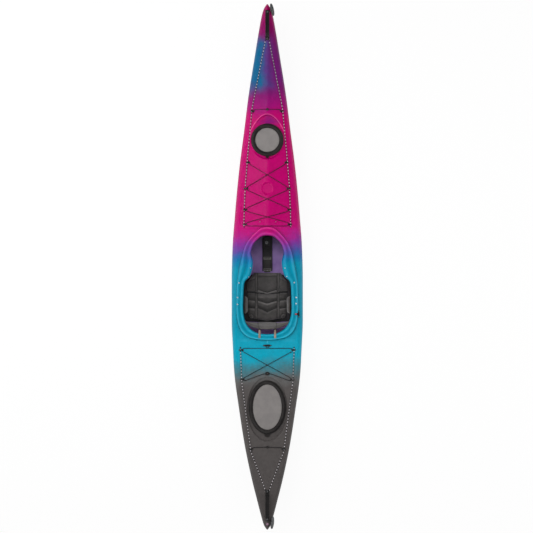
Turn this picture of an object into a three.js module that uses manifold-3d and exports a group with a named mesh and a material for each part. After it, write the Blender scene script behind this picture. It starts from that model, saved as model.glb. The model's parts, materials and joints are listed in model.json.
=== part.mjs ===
import * as THREE from 'three';
import { mergeVertices } from 'three/addons/utils/BufferGeometryUtils.js';
import Module from 'manifold-3d';

// A moulded plastic sea kayak, in millimetres. The bow points to +Y, starboard is +X, up is +Z,
// and the flat of the keel rests on z = 0.
// A table whose name ends in Shares holds shares of a named size.

// Hull sizes
const hullLength = 4420;
const hullHalfLength = hullLength / 2;
const hullBeam = 600;
const hullHeight = 396;
const wall = 6;
const gap = 0.3;
const overrun = 20;
const hullStations = 36;
const hollowStations = 22;
const stationCrowdingShare = 0.55;
const cavityReachShare = 0.94;
const mergeDistance = 0.001;

// Where things stand along the hull, as shares of its half length ahead of the middle.
const placeShares = {
  opening: -0.0683, openingReach: 0.1878, frontHatch: 0.4842, rearHatch: -0.5344,
  rearBulkhead: -0.3348, skegSlot: -0.6688, railFront: 0.3167, railRear: 0.1357,
};

// Columns: along the half length, half beam, then the heights of keel, gunwale, shoulder and ridge
// as shares of the hull height, the shoulder's share of the half beam, and the fullness of the bottom.
const hullLineShares = [
  [-1, 0.02, 0.66, 0.755, 0.79, 0.81, 0.5, 0],
  [-0.985, 0.09, 0.56, 0.748, 0.796, 0.824, 0.52, 0],
  [-0.96, 0.148, 0.44, 0.738, 0.792, 0.822, 0.58, 0],
  [-0.9, 0.265, 0.235, 0.697, 0.763, 0.793, 0.68, 0.1],
  [-0.8, 0.45, 0.126, 0.636, 0.712, 0.732, 0.78, 0.3],
  [-0.68, 0.634, 0.071, 0.586, 0.667, 0.677, 0.84, 0.55],
  [-0.55, 0.785, 0.03, 0.545, 0.629, 0.634, 0.87, 0.8],
  [-0.4, 0.93, 0.004, 0.515, 0.606, 0.609, 0.875, 0.95],
  [-0.31, 0.967, 0, 0.505, 0.598, 0.602, 0.875, 1],
  [-0.2, 1, 0, 0.5, 0.609, 0.631, 0.87, 1],
  [-0.05, 1, 0, 0.503, 0.626, 0.737, 0.86, 1],
  [0.08, 0.975, 0, 0.515, 0.646, 0.813, 0.85, 1],
  [0.19, 0.915, 0, 0.53, 0.662, 0.838, 0.84, 1],
  [0.3, 0.845, 0, 0.543, 0.667, 0.826, 0.82, 0.95],
  [0.4, 0.765, 0.004, 0.561, 0.677, 0.812, 0.8, 0.85],
  [0.52, 0.65, 0.028, 0.593, 0.699, 0.813, 0.8, 0.7],
  [0.65, 0.53, 0.068, 0.639, 0.735, 0.836, 0.8, 0.5],
  [0.8, 0.355, 0.152, 0.712, 0.803, 0.884, 0.76, 0.25],
  [0.9, 0.235, 0.265, 0.788, 0.871, 0.934, 0.7, 0.1],
  [0.96, 0.15, 0.45, 0.845, 0.918, 0.966, 0.6, 0],
  [0.985, 0.09, 0.6, 0.885, 0.945, 0.985, 0.54, 0],
  [1, 0.02, 0.74, 0.91, 0.965, 0.993, 0.5, 0],
];
const fullBottomShares = [[0.32, 0], [0.58, 0.05], [0.78, 0.2], [0.9, 0.4], [0.97, 0.68]];
const veeBottomShares = [[0.1, 0], [0.3, 0.17], [0.52, 0.38], [0.72, 0.6], [0.88, 0.82]];
const bevelShares = [0.42, 0.6];
const deckCrownShares = [[0.66, 0.38], [0.33, 0.72]];

// Cockpit sizes
const openingHalfWidth = 203;
const openingHalfLength = hullHalfLength * placeShares.openingReach;
const openingCentre = hullHalfLength * placeShares.opening;
const rimThickness = 7;
const riserInset = 17;
const cockpitFloorShare = 0.38;

// Columns: half width and place of the inner edge, then of the outer edge, from front to rear,
// as shares of the opening's half width and half length.
const rimEdgeShares = [
  [0, 1, 0, 1.188],
  [0.222, 0.986, 0.286, 1.159],
  [0.374, 0.935, 0.532, 1.058],
  [0.542, 0.851, 0.719, 0.957],
  [0.621, 0.764, 0.867, 0.858],
  [0.67, 0.665, 0.98, 0.737],
  [0.655, 0.6, 1.054, 0.617],
  [0.586, 0.504, 1.113, 0.504],
  [0.591, 0.381, 1.167, 0.381],
  [0.64, 0.267, 1.207, 0.255],
  [0.729, 0.161, 1.236, 0.135],
  [0.906, 0.08, 1.261, 0.051],
  [0.966, -0.022, 1.276, -0.046],
  [0.99, -0.263, 1.291, -0.263],
  [1, -0.48, 1.296, -0.48],
  [0.966, -0.636, 1.276, -0.648],
  [0.877, -0.778, 1.212, -0.817],
  [0.724, -0.882, 1.069, -0.957],
  [0.493, -0.959, 0.813, -1.063],
  [0.246, -0.99, 0.419, -1.111],
  [0, -1, 0, -1.125],
];
const widestRimRow = 14;
// Columns: place as a share of the opening's half length, rim height as a share of the hull height.
const rimHeightShares = [
  [-1.13, 0.657], [-0.72, 0.662], [-0.26, 0.674], [0.12, 0.7],
  [0.5, 0.735], [0.737, 0.77], [0.957, 0.823], [1.19, 0.9],
];
// Columns: across the rim from its outer edge, drop below the rim height, both as shares of its width.
const rimProfileShares = [
  [0, 0.1], [0.09, 0.02], [0.22, 0], [0.45, 0.06], [0.68, 0.02], [0.88, 0.09], [1, 0.2],
];

// Front hatch, a round rubber cover with a grey panel
const fore = hullHalfLength * placeShares.frontHatch;
const frontHatch = { centre: fore, halfWidth: 138, halfLength: 138, panelMargin: 37, floorShare: 0.732 };
const archReach = 215;
const archMargin = 4;
const archRearMargin = 18;
const archShoulderShare = 0.62;
const plinthMargin = 3;
const plinthDraft = 3;
const plinthHeight = 40;

// Rear hatch, an oval rubber cover with a grey panel
const aft = hullHalfLength * placeShares.rearHatch;
const rearHatch = { centre: aft, halfWidth: 157, halfLength: 226, panelMargin: 34, floorShare: 0.591 };
const recessSideMargin = 12;
const recessEndMargin = 43;
const recessSetback = 16;
const rearRecess = {
  centre: rearHatch.centre - recessSetback,
  halfWidth: rearHatch.halfWidth + recessSideMargin,
  halfLength: rearHatch.halfLength + recessEndMargin,
};

// Sizes that both hatches share
const neckInset = 21;
const neckWall = 5;
const neckHeight = 14;
const coverWeb = 3;
const coverCrown = 12;
const coverFoot = 2;
const coverFit = 0.5;
const coverEdge = 4;
const panelThickness = 5;
const panelCrown = 2;
const panelRound = 16;
const recessDraft = 4;
const hatchSteps = 32;
const mouthSteps = 24;
const frontTab = { halfWidth: 15, reach: 15 };
const rearTab = { halfWidth: 27, reach: 27 };
const tabThickness = 6;

// Places on the deck, from the cockpit rim and from the seats of the hatches
const rimFront = openingCentre + openingHalfLength * rimEdgeShares[0][3];
const rimRear = openingCentre + openingHalfLength * rimEdgeShares[rimEdgeShares.length - 1][3];
const frontSeatRear = frontHatch.centre - frontHatch.halfLength - archMargin - archRearMargin;
const archTip = frontHatch.centre + archReach;
const recessFront = rearRecess.centre + rearRecess.halfLength;
const recessRear = rearRecess.centre - rearRecess.halfLength;

// Compass recess in the foredeck, at a share of the way from the rim to the front hatch's seat
const foredeckShares = { e: 0.03, d: 0.2465, c: 0.56, b: 0.9472 };
const compassRecess = { centre: mix(rimFront, frontSeatRear, foredeckShares.c), radius: 49, depth: 16 };

// Grab handles, with a bolt at each end
const handleWidth = 34;
const handleThickness = 4;
const handleRise = 24;
const handleFoot = 30;
const handleBend = 26;
const handleBendShare = 0.86;
const bossRadius = 15;
const bossDraft = 5;
const bossHeight = 20;
const bossProud = 3;
const bowSetback = 65;
const bowHandleSpan = 223;
const bowBolt = hullHalfLength - bowSetback;
const bowHandle = { from: bowBolt - bowHandleSpan, to: bowBolt };
const sternSetback = 85;
const sternHandleSpan = 235;
const sternBolt = sternSetback - hullHalfLength;
const sternHandle = { from: sternBolt, to: sternBolt + sternHandleSpan };

// Toggles that hang beside the bow and the stern
const toggleLength = 106;
const toggleRadius = 16;
const toggleCord = 5;
// Columns: along the toggle, girth as a share of its radius.
const toggleProfileShares = [
  [0, 0], [0.02, 0.34], [0.14, 0.62], [0.32, 0.93], [0.5, 1], [0.68, 0.93], [0.86, 0.62], [0.98, 0.34], [1, 0],
];
const toggleCordCrest = { acrossShare: 0.5, alongShare: 0.4 };
const bowToggle = { bolt: bowBolt, beyondBolt: 19, turnDegrees: 12 };
const sternToggle = { bolt: sternBolt, beyondBolt: -27, turnDegrees: -6 };

// Drain plug in the stern deck
const plugSetback = 45;
const plugPlace = plugSetback - hullHalfLength;
const plugShank = 12;
const plugDepth = 18;
const plugHead = 20;
const plugHeadHeight = 6;
const plugGrip = 5;
const drainReach = 7.4;
const drainDrop = 70;

// Skeg
const skegSlotFront = hullHalfLength * placeShares.skegSlot;
const skegSlotLength = 260;
const skegSlot = { front: skegSlotFront, rear: skegSlotFront - skegSlotLength, width: 13 };
const skegBoxWall = 4;
const skegBoxTop = 196;
const skegThickness = 8;
const skegPivotSetback = 30;
const skegPivot = { y: skegSlotFront - skegPivotSetback, z: 76 };
const skegPin = 8;
const skegPinPlay = 0.3;
const skegPinProud = 3;
const skegReach = 205;
const skegDepth = 106;
// Columns: aft of the pivot as a share of the reach, above the pivot as a share of the depth.
const skegOutlineShares = [
  [-0.09, 0.06], [-0.03, 0.2], [0.2, 0.56], [0.54, 0.79], [0.83, 0.74],
  [0.99, 0.38], [1, -0.06], [0.93, -0.2], [0.06, -0.2], [-0.07, -0.12],
];

// Where the cockpit's pieces stand, as shares of the opening's half length ahead of its centre.
const cockpitShares = {
  panFront: 0.2048, panRear: -0.7108, padFront: -0.1518, padRear: -0.6867, lifterFront: 0.253,
  lifterRear: -0.1373, hipFront: -0.2241, hipRear: -0.5904, bandSides: -0.6723, bandMiddle: -0.8699,
  trackFront: 1.0096, trackRear: 0.2819, strapFront: 0.5952, cleat: -0.5928,
};
const cockpitPlaces = Object.fromEntries(Object.entries(cockpitShares).map(([name, share]) => {
  return [name, openingCentre + openingHalfLength * share];
}));

// Skeg control beside the cockpit
const cleatPlace = cockpitPlaces.cleat;
const cleatArm = { inner: 234, outer: 262, width: 15, thickness: 5 };
const cleatBar = { halfLength: 31, width: 9, drop: 9, taperShare: 0.7 };
const knobRadius = 8;
const knobSteps = 8;
const knobPlace = 242;
const skegLine = 6;
// The cable's route from the skeg box along the starboard side to the cleat: across, along and up,
// as shares of the half beam, the half length and the hull height.
const cableRouteShares = [
  [0, -0.6516, 0.3788], [0.0733, -0.6335, 0.3864], [0.2067, -0.6109, 0.399], [0.36, -0.5837, 0.4091],
  [0.4867, -0.5475, 0.4167], [0.56, -0.5068, 0.4192], [0.6067, -0.4615, 0.4192], [0.6533, -0.4072, 0.4192],
  [0.6867, -0.362, 0.4242], [0.7067, -0.3348, 0.4293], [0.7267, -0.3077, 0.4369], [0.76, -0.2715, 0.4495],
  [0.7933, -0.2353, 0.4646], [0.82, -0.2081, 0.4848], [0.8367, -0.1923, 0.5101],
];
const cableTopShare = 0.8467;

// Bulkheads
const bulkheadThickness = 50;
const bulkheadSetback = 68;
const frontBulkheadPlace = frontSeatRear - bulkheadSetback;
const rearBulkheadPlace = hullHalfLength * placeShares.rearBulkhead;
const cablePlay = 1;
const cableHeadroom = 4;

// Seat
const seatHalfWidth = 200;
const seatFront = cockpitPlaces.panFront;
const seatRear = cockpitPlaces.panRear;
const seatShell = 5;
const wingHeight = 205;
const seatFloor = 10;
const seatSectionShares = [[0.5, 0], [0.8, 0.03], [0.94, 0.13], [0.99, 0.4], [1, 1]];
// Columns: along the seat from its front, height of its side as a share of the wing height.
const seatSideShares = [
  [0, 0.18], [0.14, 0.24], [0.34, 0.42], [0.5, 0.9], [0.62, 1], [0.86, 1], [0.94, 0.9], [1, 0.55],
];

const seatPad = { halfWidth: 178, thickness: 38 };
const legLifter = { frontHalf: 118, thickness: 46, vee: 26 };
// A pad's section from its middle to its side, as shares of its half width and thickness.
const padSectionShares = [
  [0, 0.93], [0.3, 1], [0.5, 0.98], [0.56, 0.84], [0.62, 0.98],
  [0.8, 1], [0.92, 0.9], [1, 0.6], [0.96, 0.2], [0.88, 0],
];
// Columns: along a pad from its front, width and thickness as shares of its own.
const seatPadShares = [
  [0, 0.93, 0.45], [0.03, 0.97, 0.8], [0.1, 0.99, 1], [0.26, 1, 0.82], [0.34, 1, 0.72],
  [0.42, 0.99, 0.96], [0.62, 0.97, 0.86], [0.82, 0.94, 0.78], [0.95, 0.88, 0.66], [1, 0.82, 0.4],
];
// Columns: along the lifter from its front, how far its width has spread, thickness as a share of its own.
const legLifterShares = [
  [0, 0, 0.5], [0.04, 0.04, 0.86], [0.14, 0.2, 1], [0.3, 0.5, 0.98],
  [0.46, 0.96, 0.95], [0.7, 1, 0.9], [0.93, 1, 0.84], [1, 0.98, 0.5],
];

const hipPad = { low: 74, high: 192, thickness: 17 };
// Columns: along the pad, height and thickness as shares of its own.
const hipPadShares = [
  [0, 0.8, 0.4], [0.05, 0.9, 0.85], [0.25, 1, 1], [0.75, 1, 1], [0.95, 0.9, 0.85], [1, 0.8, 0.4],
];
// Columns: up from the pad's middle, out from the seat's wall.
const hipSectionShares = [[0, 1], [0.55, 0.96], [0.85, 0.82], [1, 0.45], [0.94, 0]];

const backband = { low: 92, high: 232, thickness: 28, margin: 2.2 };
const bandHalfWidth = seatHalfWidth - backband.margin;
const backbandBowShare = 0.98;
// Columns: across the backband from its middle, its height and thickness as shares of its own.
const backbandShares = [
  [0, 1, 1], [0.3, 1, 1], [0.44, 0.98, 0.82], [0.52, 0.94, 0.96],
  [0.72, 0.86, 0.9], [0.9, 0.74, 0.72], [1, 0.6, 0.35],
];
// Columns: through the band from its front face, up from its lower edge.
const backbandSectionShares = [
  [0.1, 0], [0, 0.14], [0, 0.5], [0, 0.86], [0.1, 1], [0.5, 1.02],
  [0.9, 1], [1, 0.86], [1, 0.5], [1, 0.14], [0.9, 0], [0.5, -0.02],
];
const backbandStrap = { x: 66, width: 17, thickness: 3, rise: 5, dip: 0.8 };

const seatTrack = { halfWidth: 42, thickness: 9, rail: 5, railWidth: 9 };
const lifterStrap = { halfWidth: 27, thickness: 3, buckle: 22, buckleHalf: 34, buckleThickness: 6 };

// Thigh pads under the rim's hooks
const thighPadThickness = 12;
const thighPadRows = { from: 7, to: 11 };

// Foot rails and pedals
const railFront = hullHalfLength * placeShares.railFront;
const railRear = hullHalfLength * placeShares.railRear;
const footRail = { low: 96, high: 122, depth: 8 };
const pedal = { height: 112, width: 72, thickness: 9, carriage: 60, carriageDepth: 15, low: 66, round: 16 };

// Deck fittings and the cords that they hold
const lineDiameter = 6;
const bungeeDiameter = 5;
const cordSides = 8;
const eyeHalf = 4.4;
const eyeHeight = 8.6;
const eyeBand = 3;
const eyeDepth = 9;
const eyeFoot = 7;
const eyeFootHeight = 2.6;
const eyeSpacing = 11;
const fittingSink = 6;
const cordLift = 1.6;
const crossLift = 7.4;
const bungeeBend = 9;
const bungeeReturn = 7;
// Columns: beyond the eye as a share of the bend, inwards as a share of the return.
const bungeeBendShares = [[0.6, 0.1], [1.5, 1]];
const lineTail = 20;
const lineStep = 60;
const bungeeStep = 60;

// Distances along the deck between neighbours
const archToGuide = 43;
const guideToCross = 15;
const rimToPadeye = 37;
const rimToFitting = 81;
const guideToRecess = 29;
const guideToFitting = 50;
const recessToGuide = 52;
const guideToPaddle = 16;

const guides = {
  front: { y: archTip + archToGuide, halfWidth: 12, halfLength: 10 },
  middle: { y: recessFront + guideToRecess, halfWidth: 21, halfLength: 15 },
  rear: { y: recessRear - recessToGuide, halfWidth: 12, halfLength: 10 },
};
const guideHeight = 10;

const padeyePlace = rimRear - rimToPadeye;
const padeye = { halfWidth: 38, halfLength: 8, thickness: 4, loop: 15, wire: 5, loopReach: 20 };

// The place of each pair of deck fittings along the hull.
const fittingPlaces = {
  a: guides.front.y - guideToCross,
  b: mix(rimFront, frontSeatRear, foredeckShares.b),
  c: compassRecess.centre,
  d: mix(rimFront, frontSeatRear, foredeckShares.d),
  e: mix(rimFront, frontSeatRear, foredeckShares.e),
  f: rimRear - rimToFitting,
  g: guides.middle.y - guideToFitting,
  h: guides.rear.y - guideToPaddle,
};
// How far each fitting stands from the middle, as shares of the half width between the deck's shoulders.
const fittingShares = {
  a: 0.8858, b: 0.886, c: 0.8647, d: 0.8302, e: 0.8061, f: 0.8686, g: 0.8841, h: 0.8892,
};

const wasm = await Module();
wasm.setup();

// Small tools

function mix(from, to, share) {
  return from + (to - from) * share;
}

function smoothCurve(knots, values) {
  const last = knots.length - 1;
  const slope = (k) => (values[k + 1] - values[k]) / (knots[k + 1] - knots[k]);
  const tangent = (k) => {
    if (k === 0 || k === last) return slope(Math.min(k, last - 1));
    const before = slope(k - 1);
    const after = slope(k);
    return before * after <= 0 ? 0 : (2 * before * after) / (before + after);
  };
  return (at) => {
    const found = knots.findIndex((knot) => knot > at);
    const k = Math.min(Math.max((found < 0 ? knots.length : found) - 1, 0), last - 1);
    const span = knots[k + 1] - knots[k];
    const t = Math.min(Math.max((at - knots[k]) / span, 0), 1);
    const rise = (3 - 2 * t) * t * t;
    const lean = (t * (1 - t) * (1 - t) * tangent(k) - t * t * (1 - t) * tangent(k + 1)) * span;
    return mix(values[k], values[k + 1], rise) + lean;
  };
}

function column(table, index) {
  return table.map((row) => row[index]);
}

function signedVolume(positions, triangles) {
  let sum = 0;
  const corner = (index) => new THREE.Vector3().fromArray(positions, index * 3);
  for (let k = 0; k < triangles.length; k += 3) {
    sum += corner(triangles[k]).dot(corner(triangles[k + 1]).cross(corner(triangles[k + 2])));
  }
  return sum;
}

function closedGeometry(points, triangles) {
  const positions = points.flatMap((point) => [point.x, point.y, point.z]);
  const outward = signedVolume(positions, triangles) > 0 ? triangles : [...triangles].reverse();
  const geometry = new THREE.BufferGeometry();
  geometry.setAttribute('position', new THREE.Float32BufferAttribute(positions, 3));
  geometry.setIndex(outward);
  return geometry;
}

function middleOf(points) {
  return points.reduce((sum, point) => sum.add(point), new THREE.Vector3()).divideScalar(points.length);
}

// A skin over rings of equal count, closed on itself or by a fan at each end.
function loft(rings, closesOnItself = false) {
  const count = rings[0].length;
  const points = rings.flat();
  const triangles = [];
  const spans = closesOnItself ? rings.length : rings.length - 1;
  for (let r = 0; r < spans; r += 1) {
    const here = r * count;
    const next = ((r + 1) % rings.length) * count;
    for (let k = 0; k < count; k += 1) {
      const after = (k + 1) % count;
      triangles.push(here + k, here + after, next + k, here + after, next + after, next + k);
    }
  }
  if (!closesOnItself) {
    const lastRing = (rings.length - 1) * count;
    const startMiddle = points.push(middleOf(rings[0])) - 1;
    const endMiddle = points.push(middleOf(rings[rings.length - 1])) - 1;
    for (let k = 0; k < count; k += 1) {
      const after = (k + 1) % count;
      triangles.push(startMiddle, after, k, endMiddle, lastRing + k, lastRing + after);
    }
  }
  return closedGeometry(points, triangles);
}

function solid(geometry) {
  const bare = geometry.clone();
  bare.deleteAttribute('normal');
  bare.deleteAttribute('uv');
  const merged = mergeVertices(bare, mergeDistance);
  const corners = merged.index.array;
  const triangles = [];
  for (let k = 0; k < corners.length; k += 3) {
    const [a, b, c] = [corners[k], corners[k + 1], corners[k + 2]];
    if (a !== b && b !== c && c !== a) triangles.push(a, b, c);
  }
  return new wasm.Manifold(new wasm.Mesh({
    numProp: 3,
    vertProperties: Float32Array.from(merged.attributes.position.array),
    triVerts: Uint32Array.from(triangles),
  }));
}

function geometryOf(shape) {
  const mesh = shape.getMesh();
  const geometry = new THREE.BufferGeometry();
  geometry.setAttribute('position', new THREE.BufferAttribute(mesh.vertProperties, 3));
  geometry.setIndex(new THREE.BufferAttribute(mesh.triVerts, 1));
  return geometry;
}

function joined(shapes) {
  return shapes.reduce((sum, shape) => sum.add(shape));
}

function placed(geometry, x, y, z) {
  return geometry.translate(x, y, z);
}

function ovalRing(halfWidth, halfLength, x, y, z, steps) {
  return Array.from({ length: steps }, (unused, k) => {
    const angle = (k / steps) * Math.PI * 2;
    return new THREE.Vector3(x + halfWidth * Math.cos(angle), y + halfLength * Math.sin(angle), z);
  });
}

// Ovals stacked in order, each row holding its half width, half length and height.
function ovalStack(rows, x, y, steps = hatchSteps) {
  return loft(rows.map(([halfWidth, halfLength, z]) => ovalRing(halfWidth, halfLength, x, y, z, steps)));
}

function box(xFrom, xTo, yFrom, yTo, zFrom, zTo) {
  const geometry = new THREE.BoxGeometry(xTo - xFrom, yTo - yFrom, zTo - zFrom);
  return placed(geometry, (xFrom + xTo) / 2, (yFrom + yTo) / 2, (zFrom + zTo) / 2);
}

function rod(from, to, radius, steps) {
  const along = to.clone().sub(from);
  const geometry = new THREE.CylinderGeometry(radius, radius, along.length(), steps);
  const turn = new THREE.Quaternion().setFromUnitVectors(new THREE.Vector3(0, 1, 0), along.normalize());
  return geometry.applyQuaternion(turn).translate(...from.clone().add(to).divideScalar(2).toArray());
}

function extruded(outline, depth, curveSegments) {
  return new THREE.ExtrudeGeometry(outline, { depth, bevelEnabled: false, curveSegments });
}

// An outline in the Y-Z plane, given as (y, z) points, made into a plate across X.
function plateAcross(points, xFrom, xTo) {
  const geometry = extruded(new THREE.Shape(points), xTo - xFrom, 1);
  geometry.rotateY(Math.PI / 2).rotateX(Math.PI / 2);
  return placed(geometry, xFrom, 0, 0);
}

// Hull

const hullCurves = hullLineShares[0].slice(1).map((unused, index) => {
  return smoothCurve(column(hullLineShares, 0), column(hullLineShares, index + 1));
});

function halfSection(y, inset) {
  const lines = hullCurves.map((curve) => curve(y / hullHalfLength));
  const [beam, keel, gunwale, shoulder, ridge, shoulderWidth, fullness] = lines;
  const half = (beam * hullBeam) / 2 - inset;
  const keelZ = keel * hullHeight + inset;
  const gunwaleZ = gunwale * hullHeight;
  const shoulderZ = shoulder * hullHeight - inset;
  const ridgeZ = ridge * hullHeight - inset;
  const shoulderX = half * shoulderWidth;
  const bottom = fullBottomShares.map(([fullX, fullZ], k) => {
    const [veeX, veeZ] = veeBottomShares[k];
    return [half * mix(veeX, fullX, fullness), mix(keelZ, gunwaleZ, mix(veeZ, fullZ, fullness))];
  });
  const bevel = [mix(half, shoulderX, bevelShares[0]), mix(gunwaleZ, shoulderZ, bevelShares[1])];
  const crown = deckCrownShares.map(([across, up]) => [shoulderX * across, mix(shoulderZ, ridgeZ, up)]);
  return [[0, keelZ], ...bottom, [half, gunwaleZ], bevel, [shoulderX, shoulderZ], ...crown, [0, ridgeZ]];
}

const gunwaleIndex = fullBottomShares.length + 1;
const shoulderIndex = gunwaleIndex + 2;

function hullRing(y, inset) {
  const half = halfSection(y, inset);
  const port = half.slice(1, -1).reverse().map(([x, z]) => [-x, z]);
  return [...half, ...port].map(([x, z]) => new THREE.Vector3(x, y, z));
}

function stationPlaces(reachShare, count) {
  const half = hullHalfLength * reachShare;
  return Array.from({ length: count + 1 }, (unused, k) => {
    const even = (2 * k) / count - 1;
    const crowded = -Math.cos((Math.PI * k) / count);
    return half * mix(even, crowded, stationCrowdingShare);
  });
}

const outerStations = stationPlaces(1, hullStations);
const hollowPlaces = stationPlaces(cavityReachShare, hollowStations);

function hullBody(inset, places) {
  return solid(loft(places.map((y) => hullRing(y, inset))));
}

function deckPoints(y) {
  const found = outerStations.findIndex((place) => place > y);
  const k = Math.min(Math.max((found < 0 ? outerStations.length : found) - 1, 0), outerStations.length - 2);
  const share = (y - outerStations[k]) / (outerStations[k + 1] - outerStations[k]);
  const before = halfSection(outerStations[k], 0).slice(gunwaleIndex);
  const after = halfSection(outerStations[k + 1], 0).slice(gunwaleIndex);
  return before.map(([x, z], n) => [mix(x, after[n][0], share), mix(z, after[n][1], share)]);
}

function deckHeight(x, y) {
  const points = deckPoints(y);
  const across = Math.abs(x);
  const k = Math.max(points.findIndex((point) => point[0] <= across), 1);
  const [outer, inner] = [points[k - 1], points[k]];
  return mix(inner[1], outer[1], (across - inner[0]) / (outer[0] - inner[0]));
}

const fittings = Object.fromEntries(Object.entries(fittingPlaces).map(([name, y]) => {
  const [shoulderX] = halfSection(y, 0)[shoulderIndex];
  return [name, { x: shoulderX * fittingShares[name], y }];
}));

function hatchFloor(hatch) {
  return hullHeight * hatch.floorShare;
}

const compassFloor = deckHeight(0, compassRecess.centre) - compassRecess.depth;
const deckTop = hullHeight + overrun;

function archOutline(grow) {
  const radius = frontHatch.halfWidth + archMargin + grow;
  const reach = archReach + grow;
  const outline = new THREE.Shape();
  outline.moveTo(0, reach);
  outline.quadraticCurveTo(-radius, reach * archShoulderShare, -radius, 0);
  outline.absellipse(0, 0, radius, radius + archRearMargin, Math.PI, Math.PI * 2, false, 0);
  outline.quadraticCurveTo(radius, reach * archShoulderShare, 0, reach);
  return outline;
}

// The recesses in the deck, and the same shapes grown by the wall for the hollow under them.
function recesses(grow) {
  const frontFloor = hatchFloor(frontHatch) - grow;
  const rearFloor = hatchFloor(rearHatch) - grow;
  const arch = placed(extruded(archOutline(grow), deckTop - frontFloor, 8), 0, frontHatch.centre, frontFloor);
  const rearWidth = rearRecess.halfWidth + grow;
  const rearLength = rearRecess.halfLength + grow;
  const rear = ovalStack([
    [rearWidth - recessDraft, rearLength - recessDraft, rearFloor],
    [rearWidth + recessDraft, rearLength + recessDraft, deckTop],
  ], 0, rearRecess.centre);
  const radius = compassRecess.radius + grow;
  const foot = radius - recessDraft;
  const compassRows = [[foot, foot, compassFloor - grow], [radius, radius, deckTop]];
  const compass = ovalStack(compassRows, 0, compassRecess.centre);
  return joined([arch, rear, compass].map(solid));
}

// The round plinth that carries the front hatch where the deck falls away at its sides.
function hatchPlinth(inset) {
  const top = hatchFloor(frontHatch) - inset;
  const radius = frontHatch.halfWidth + plinthMargin - inset;
  const foot = radius + plinthDraft;
  return solid(ovalStack([[foot, foot, top - plinthHeight], [radius, radius, top]], 0, frontHatch.centre));
}

function hatchNeck(hatch) {
  const floor = hatchFloor(hatch);
  const width = hatch.halfWidth - neckInset;
  const length = hatch.halfLength - neckInset;
  const rows = [[width, length, floor - wall / 2], [width, length, floor + neckHeight]];
  return solid(ovalStack(rows, 0, hatch.centre));
}

function hatchMouth(hatch) {
  const floor = hatchFloor(hatch);
  const width = hatch.halfWidth - neckInset - neckWall;
  const length = hatch.halfLength - neckInset - neckWall;
  const rows = [[width, length, floor - overrun], [width, length, deckTop]];
  return solid(ovalStack(rows, 0, hatch.centre, mouthSteps));
}

// Cockpit rim

const rimHeightCurve = smoothCurve(column(rimHeightShares, 0), column(rimHeightShares, 1));

function rimHeight(y) {
  return rimHeightCurve((y - openingCentre) / openingHalfLength) * hullHeight;
}

function rimStation([innerX, innerY, outerX, outerY], side) {
  return {
    inner: new THREE.Vector2(side * innerX * openingHalfWidth, openingCentre + innerY * openingHalfLength),
    outer: new THREE.Vector2(side * outerX * openingHalfWidth, openingCentre + outerY * openingHalfLength),
  };
}

const rimStations = [
  ...rimEdgeShares.map((row) => rimStation(row, 1)),
  ...rimEdgeShares.slice(1, -1).reverse().map((row) => rimStation(row, -1)),
];

function rimPoint(station, across, drop) {
  const width = station.outer.distanceTo(station.inner);
  const place = station.outer.clone().lerp(station.inner, across);
  return new THREE.Vector3(place.x, place.y, rimHeight(station.outer.y) - drop * width);
}

function lowered(point, distance) {
  return new THREE.Vector3(point.x, point.y, point.z - distance);
}

function rimRing(station) {
  const top = rimProfileShares.map(([across, drop]) => rimPoint(station, across, drop));
  const under = top.filter((unused, k) => k % 2 === 0).reverse().map((point) => lowered(point, rimThickness));
  return [...top, ...under];
}

function insideRim(station, distance) {
  const width = station.outer.distanceTo(station.inner);
  return station.outer.clone().lerp(station.inner, distance / width);
}

function riserRing(station) {
  const face = insideRim(station, riserInset);
  const back = insideRim(station, riserInset + wall);
  const top = rimHeight(station.outer.y) - rimThickness;
  const foot = deckHeight(face.x, face.y) - 3 * wall;
  const corners = [[face, top], [back, top], [back, foot], [face, foot]];
  return corners.map(([place, z]) => new THREE.Vector3(place.x, place.y, z));
}

function cockpitHole() {
  const outline = rimStations.map((station) => insideRim(station, riserInset + wall));
  const floor = hullHeight * cockpitFloorShare;
  return solid(placed(extruded(new THREE.Shape(outline), deckTop - floor, 1), 0, 0, floor));
}

function cockpitRim() {
  const lip = solid(loft(rimStations.map(rimRing), true));
  const riser = solid(loft(rimStations.map(riserRing), true));
  return { lip, riser };
}

// Bosses under the handle bolts

function handleSeat(y) {
  return deckHeight(0, y) + bossProud;
}

function boltBoss(y) {
  const top = handleSeat(y);
  const foot = bossRadius + bossDraft;
  return solid(ovalStack([[foot, foot, top - bossHeight], [bossRadius, bossRadius, top]], 0, y, 12));
}

const boltPlaces = [bowHandle.from, bowHandle.to, sternHandle.from, sternHandle.to];

function skegSlotCut() {
  const half = skegSlot.width / 2;
  return solid(box(-half, half, skegSlot.rear, skegSlot.front, -overrun, skegPivot.z));
}

function drainPassage() {
  const top = new THREE.Vector3(0, plugPlace, deckHeight(0, plugPlace) + plugHeadHeight);
  const bottom = new THREE.Vector3(0, plugPlace, top.z - plugDepth - 2 * plugHeadHeight);
  const hold = new THREE.Vector3(0, drainReach - hullHalfLength * cavityReachShare, bottom.z - drainDrop);
  const radius = plugShank / 2 + gap;
  return joined([rod(top, bottom, radius, 16), rod(bottom, hold, radius, 12)].map(solid));
}

const hollow = hullBody(wall, hollowPlaces);
const fitted = hullBody(wall + gap, hollowPlaces);
const skin = hullBody(-gap, outerStations);

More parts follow.
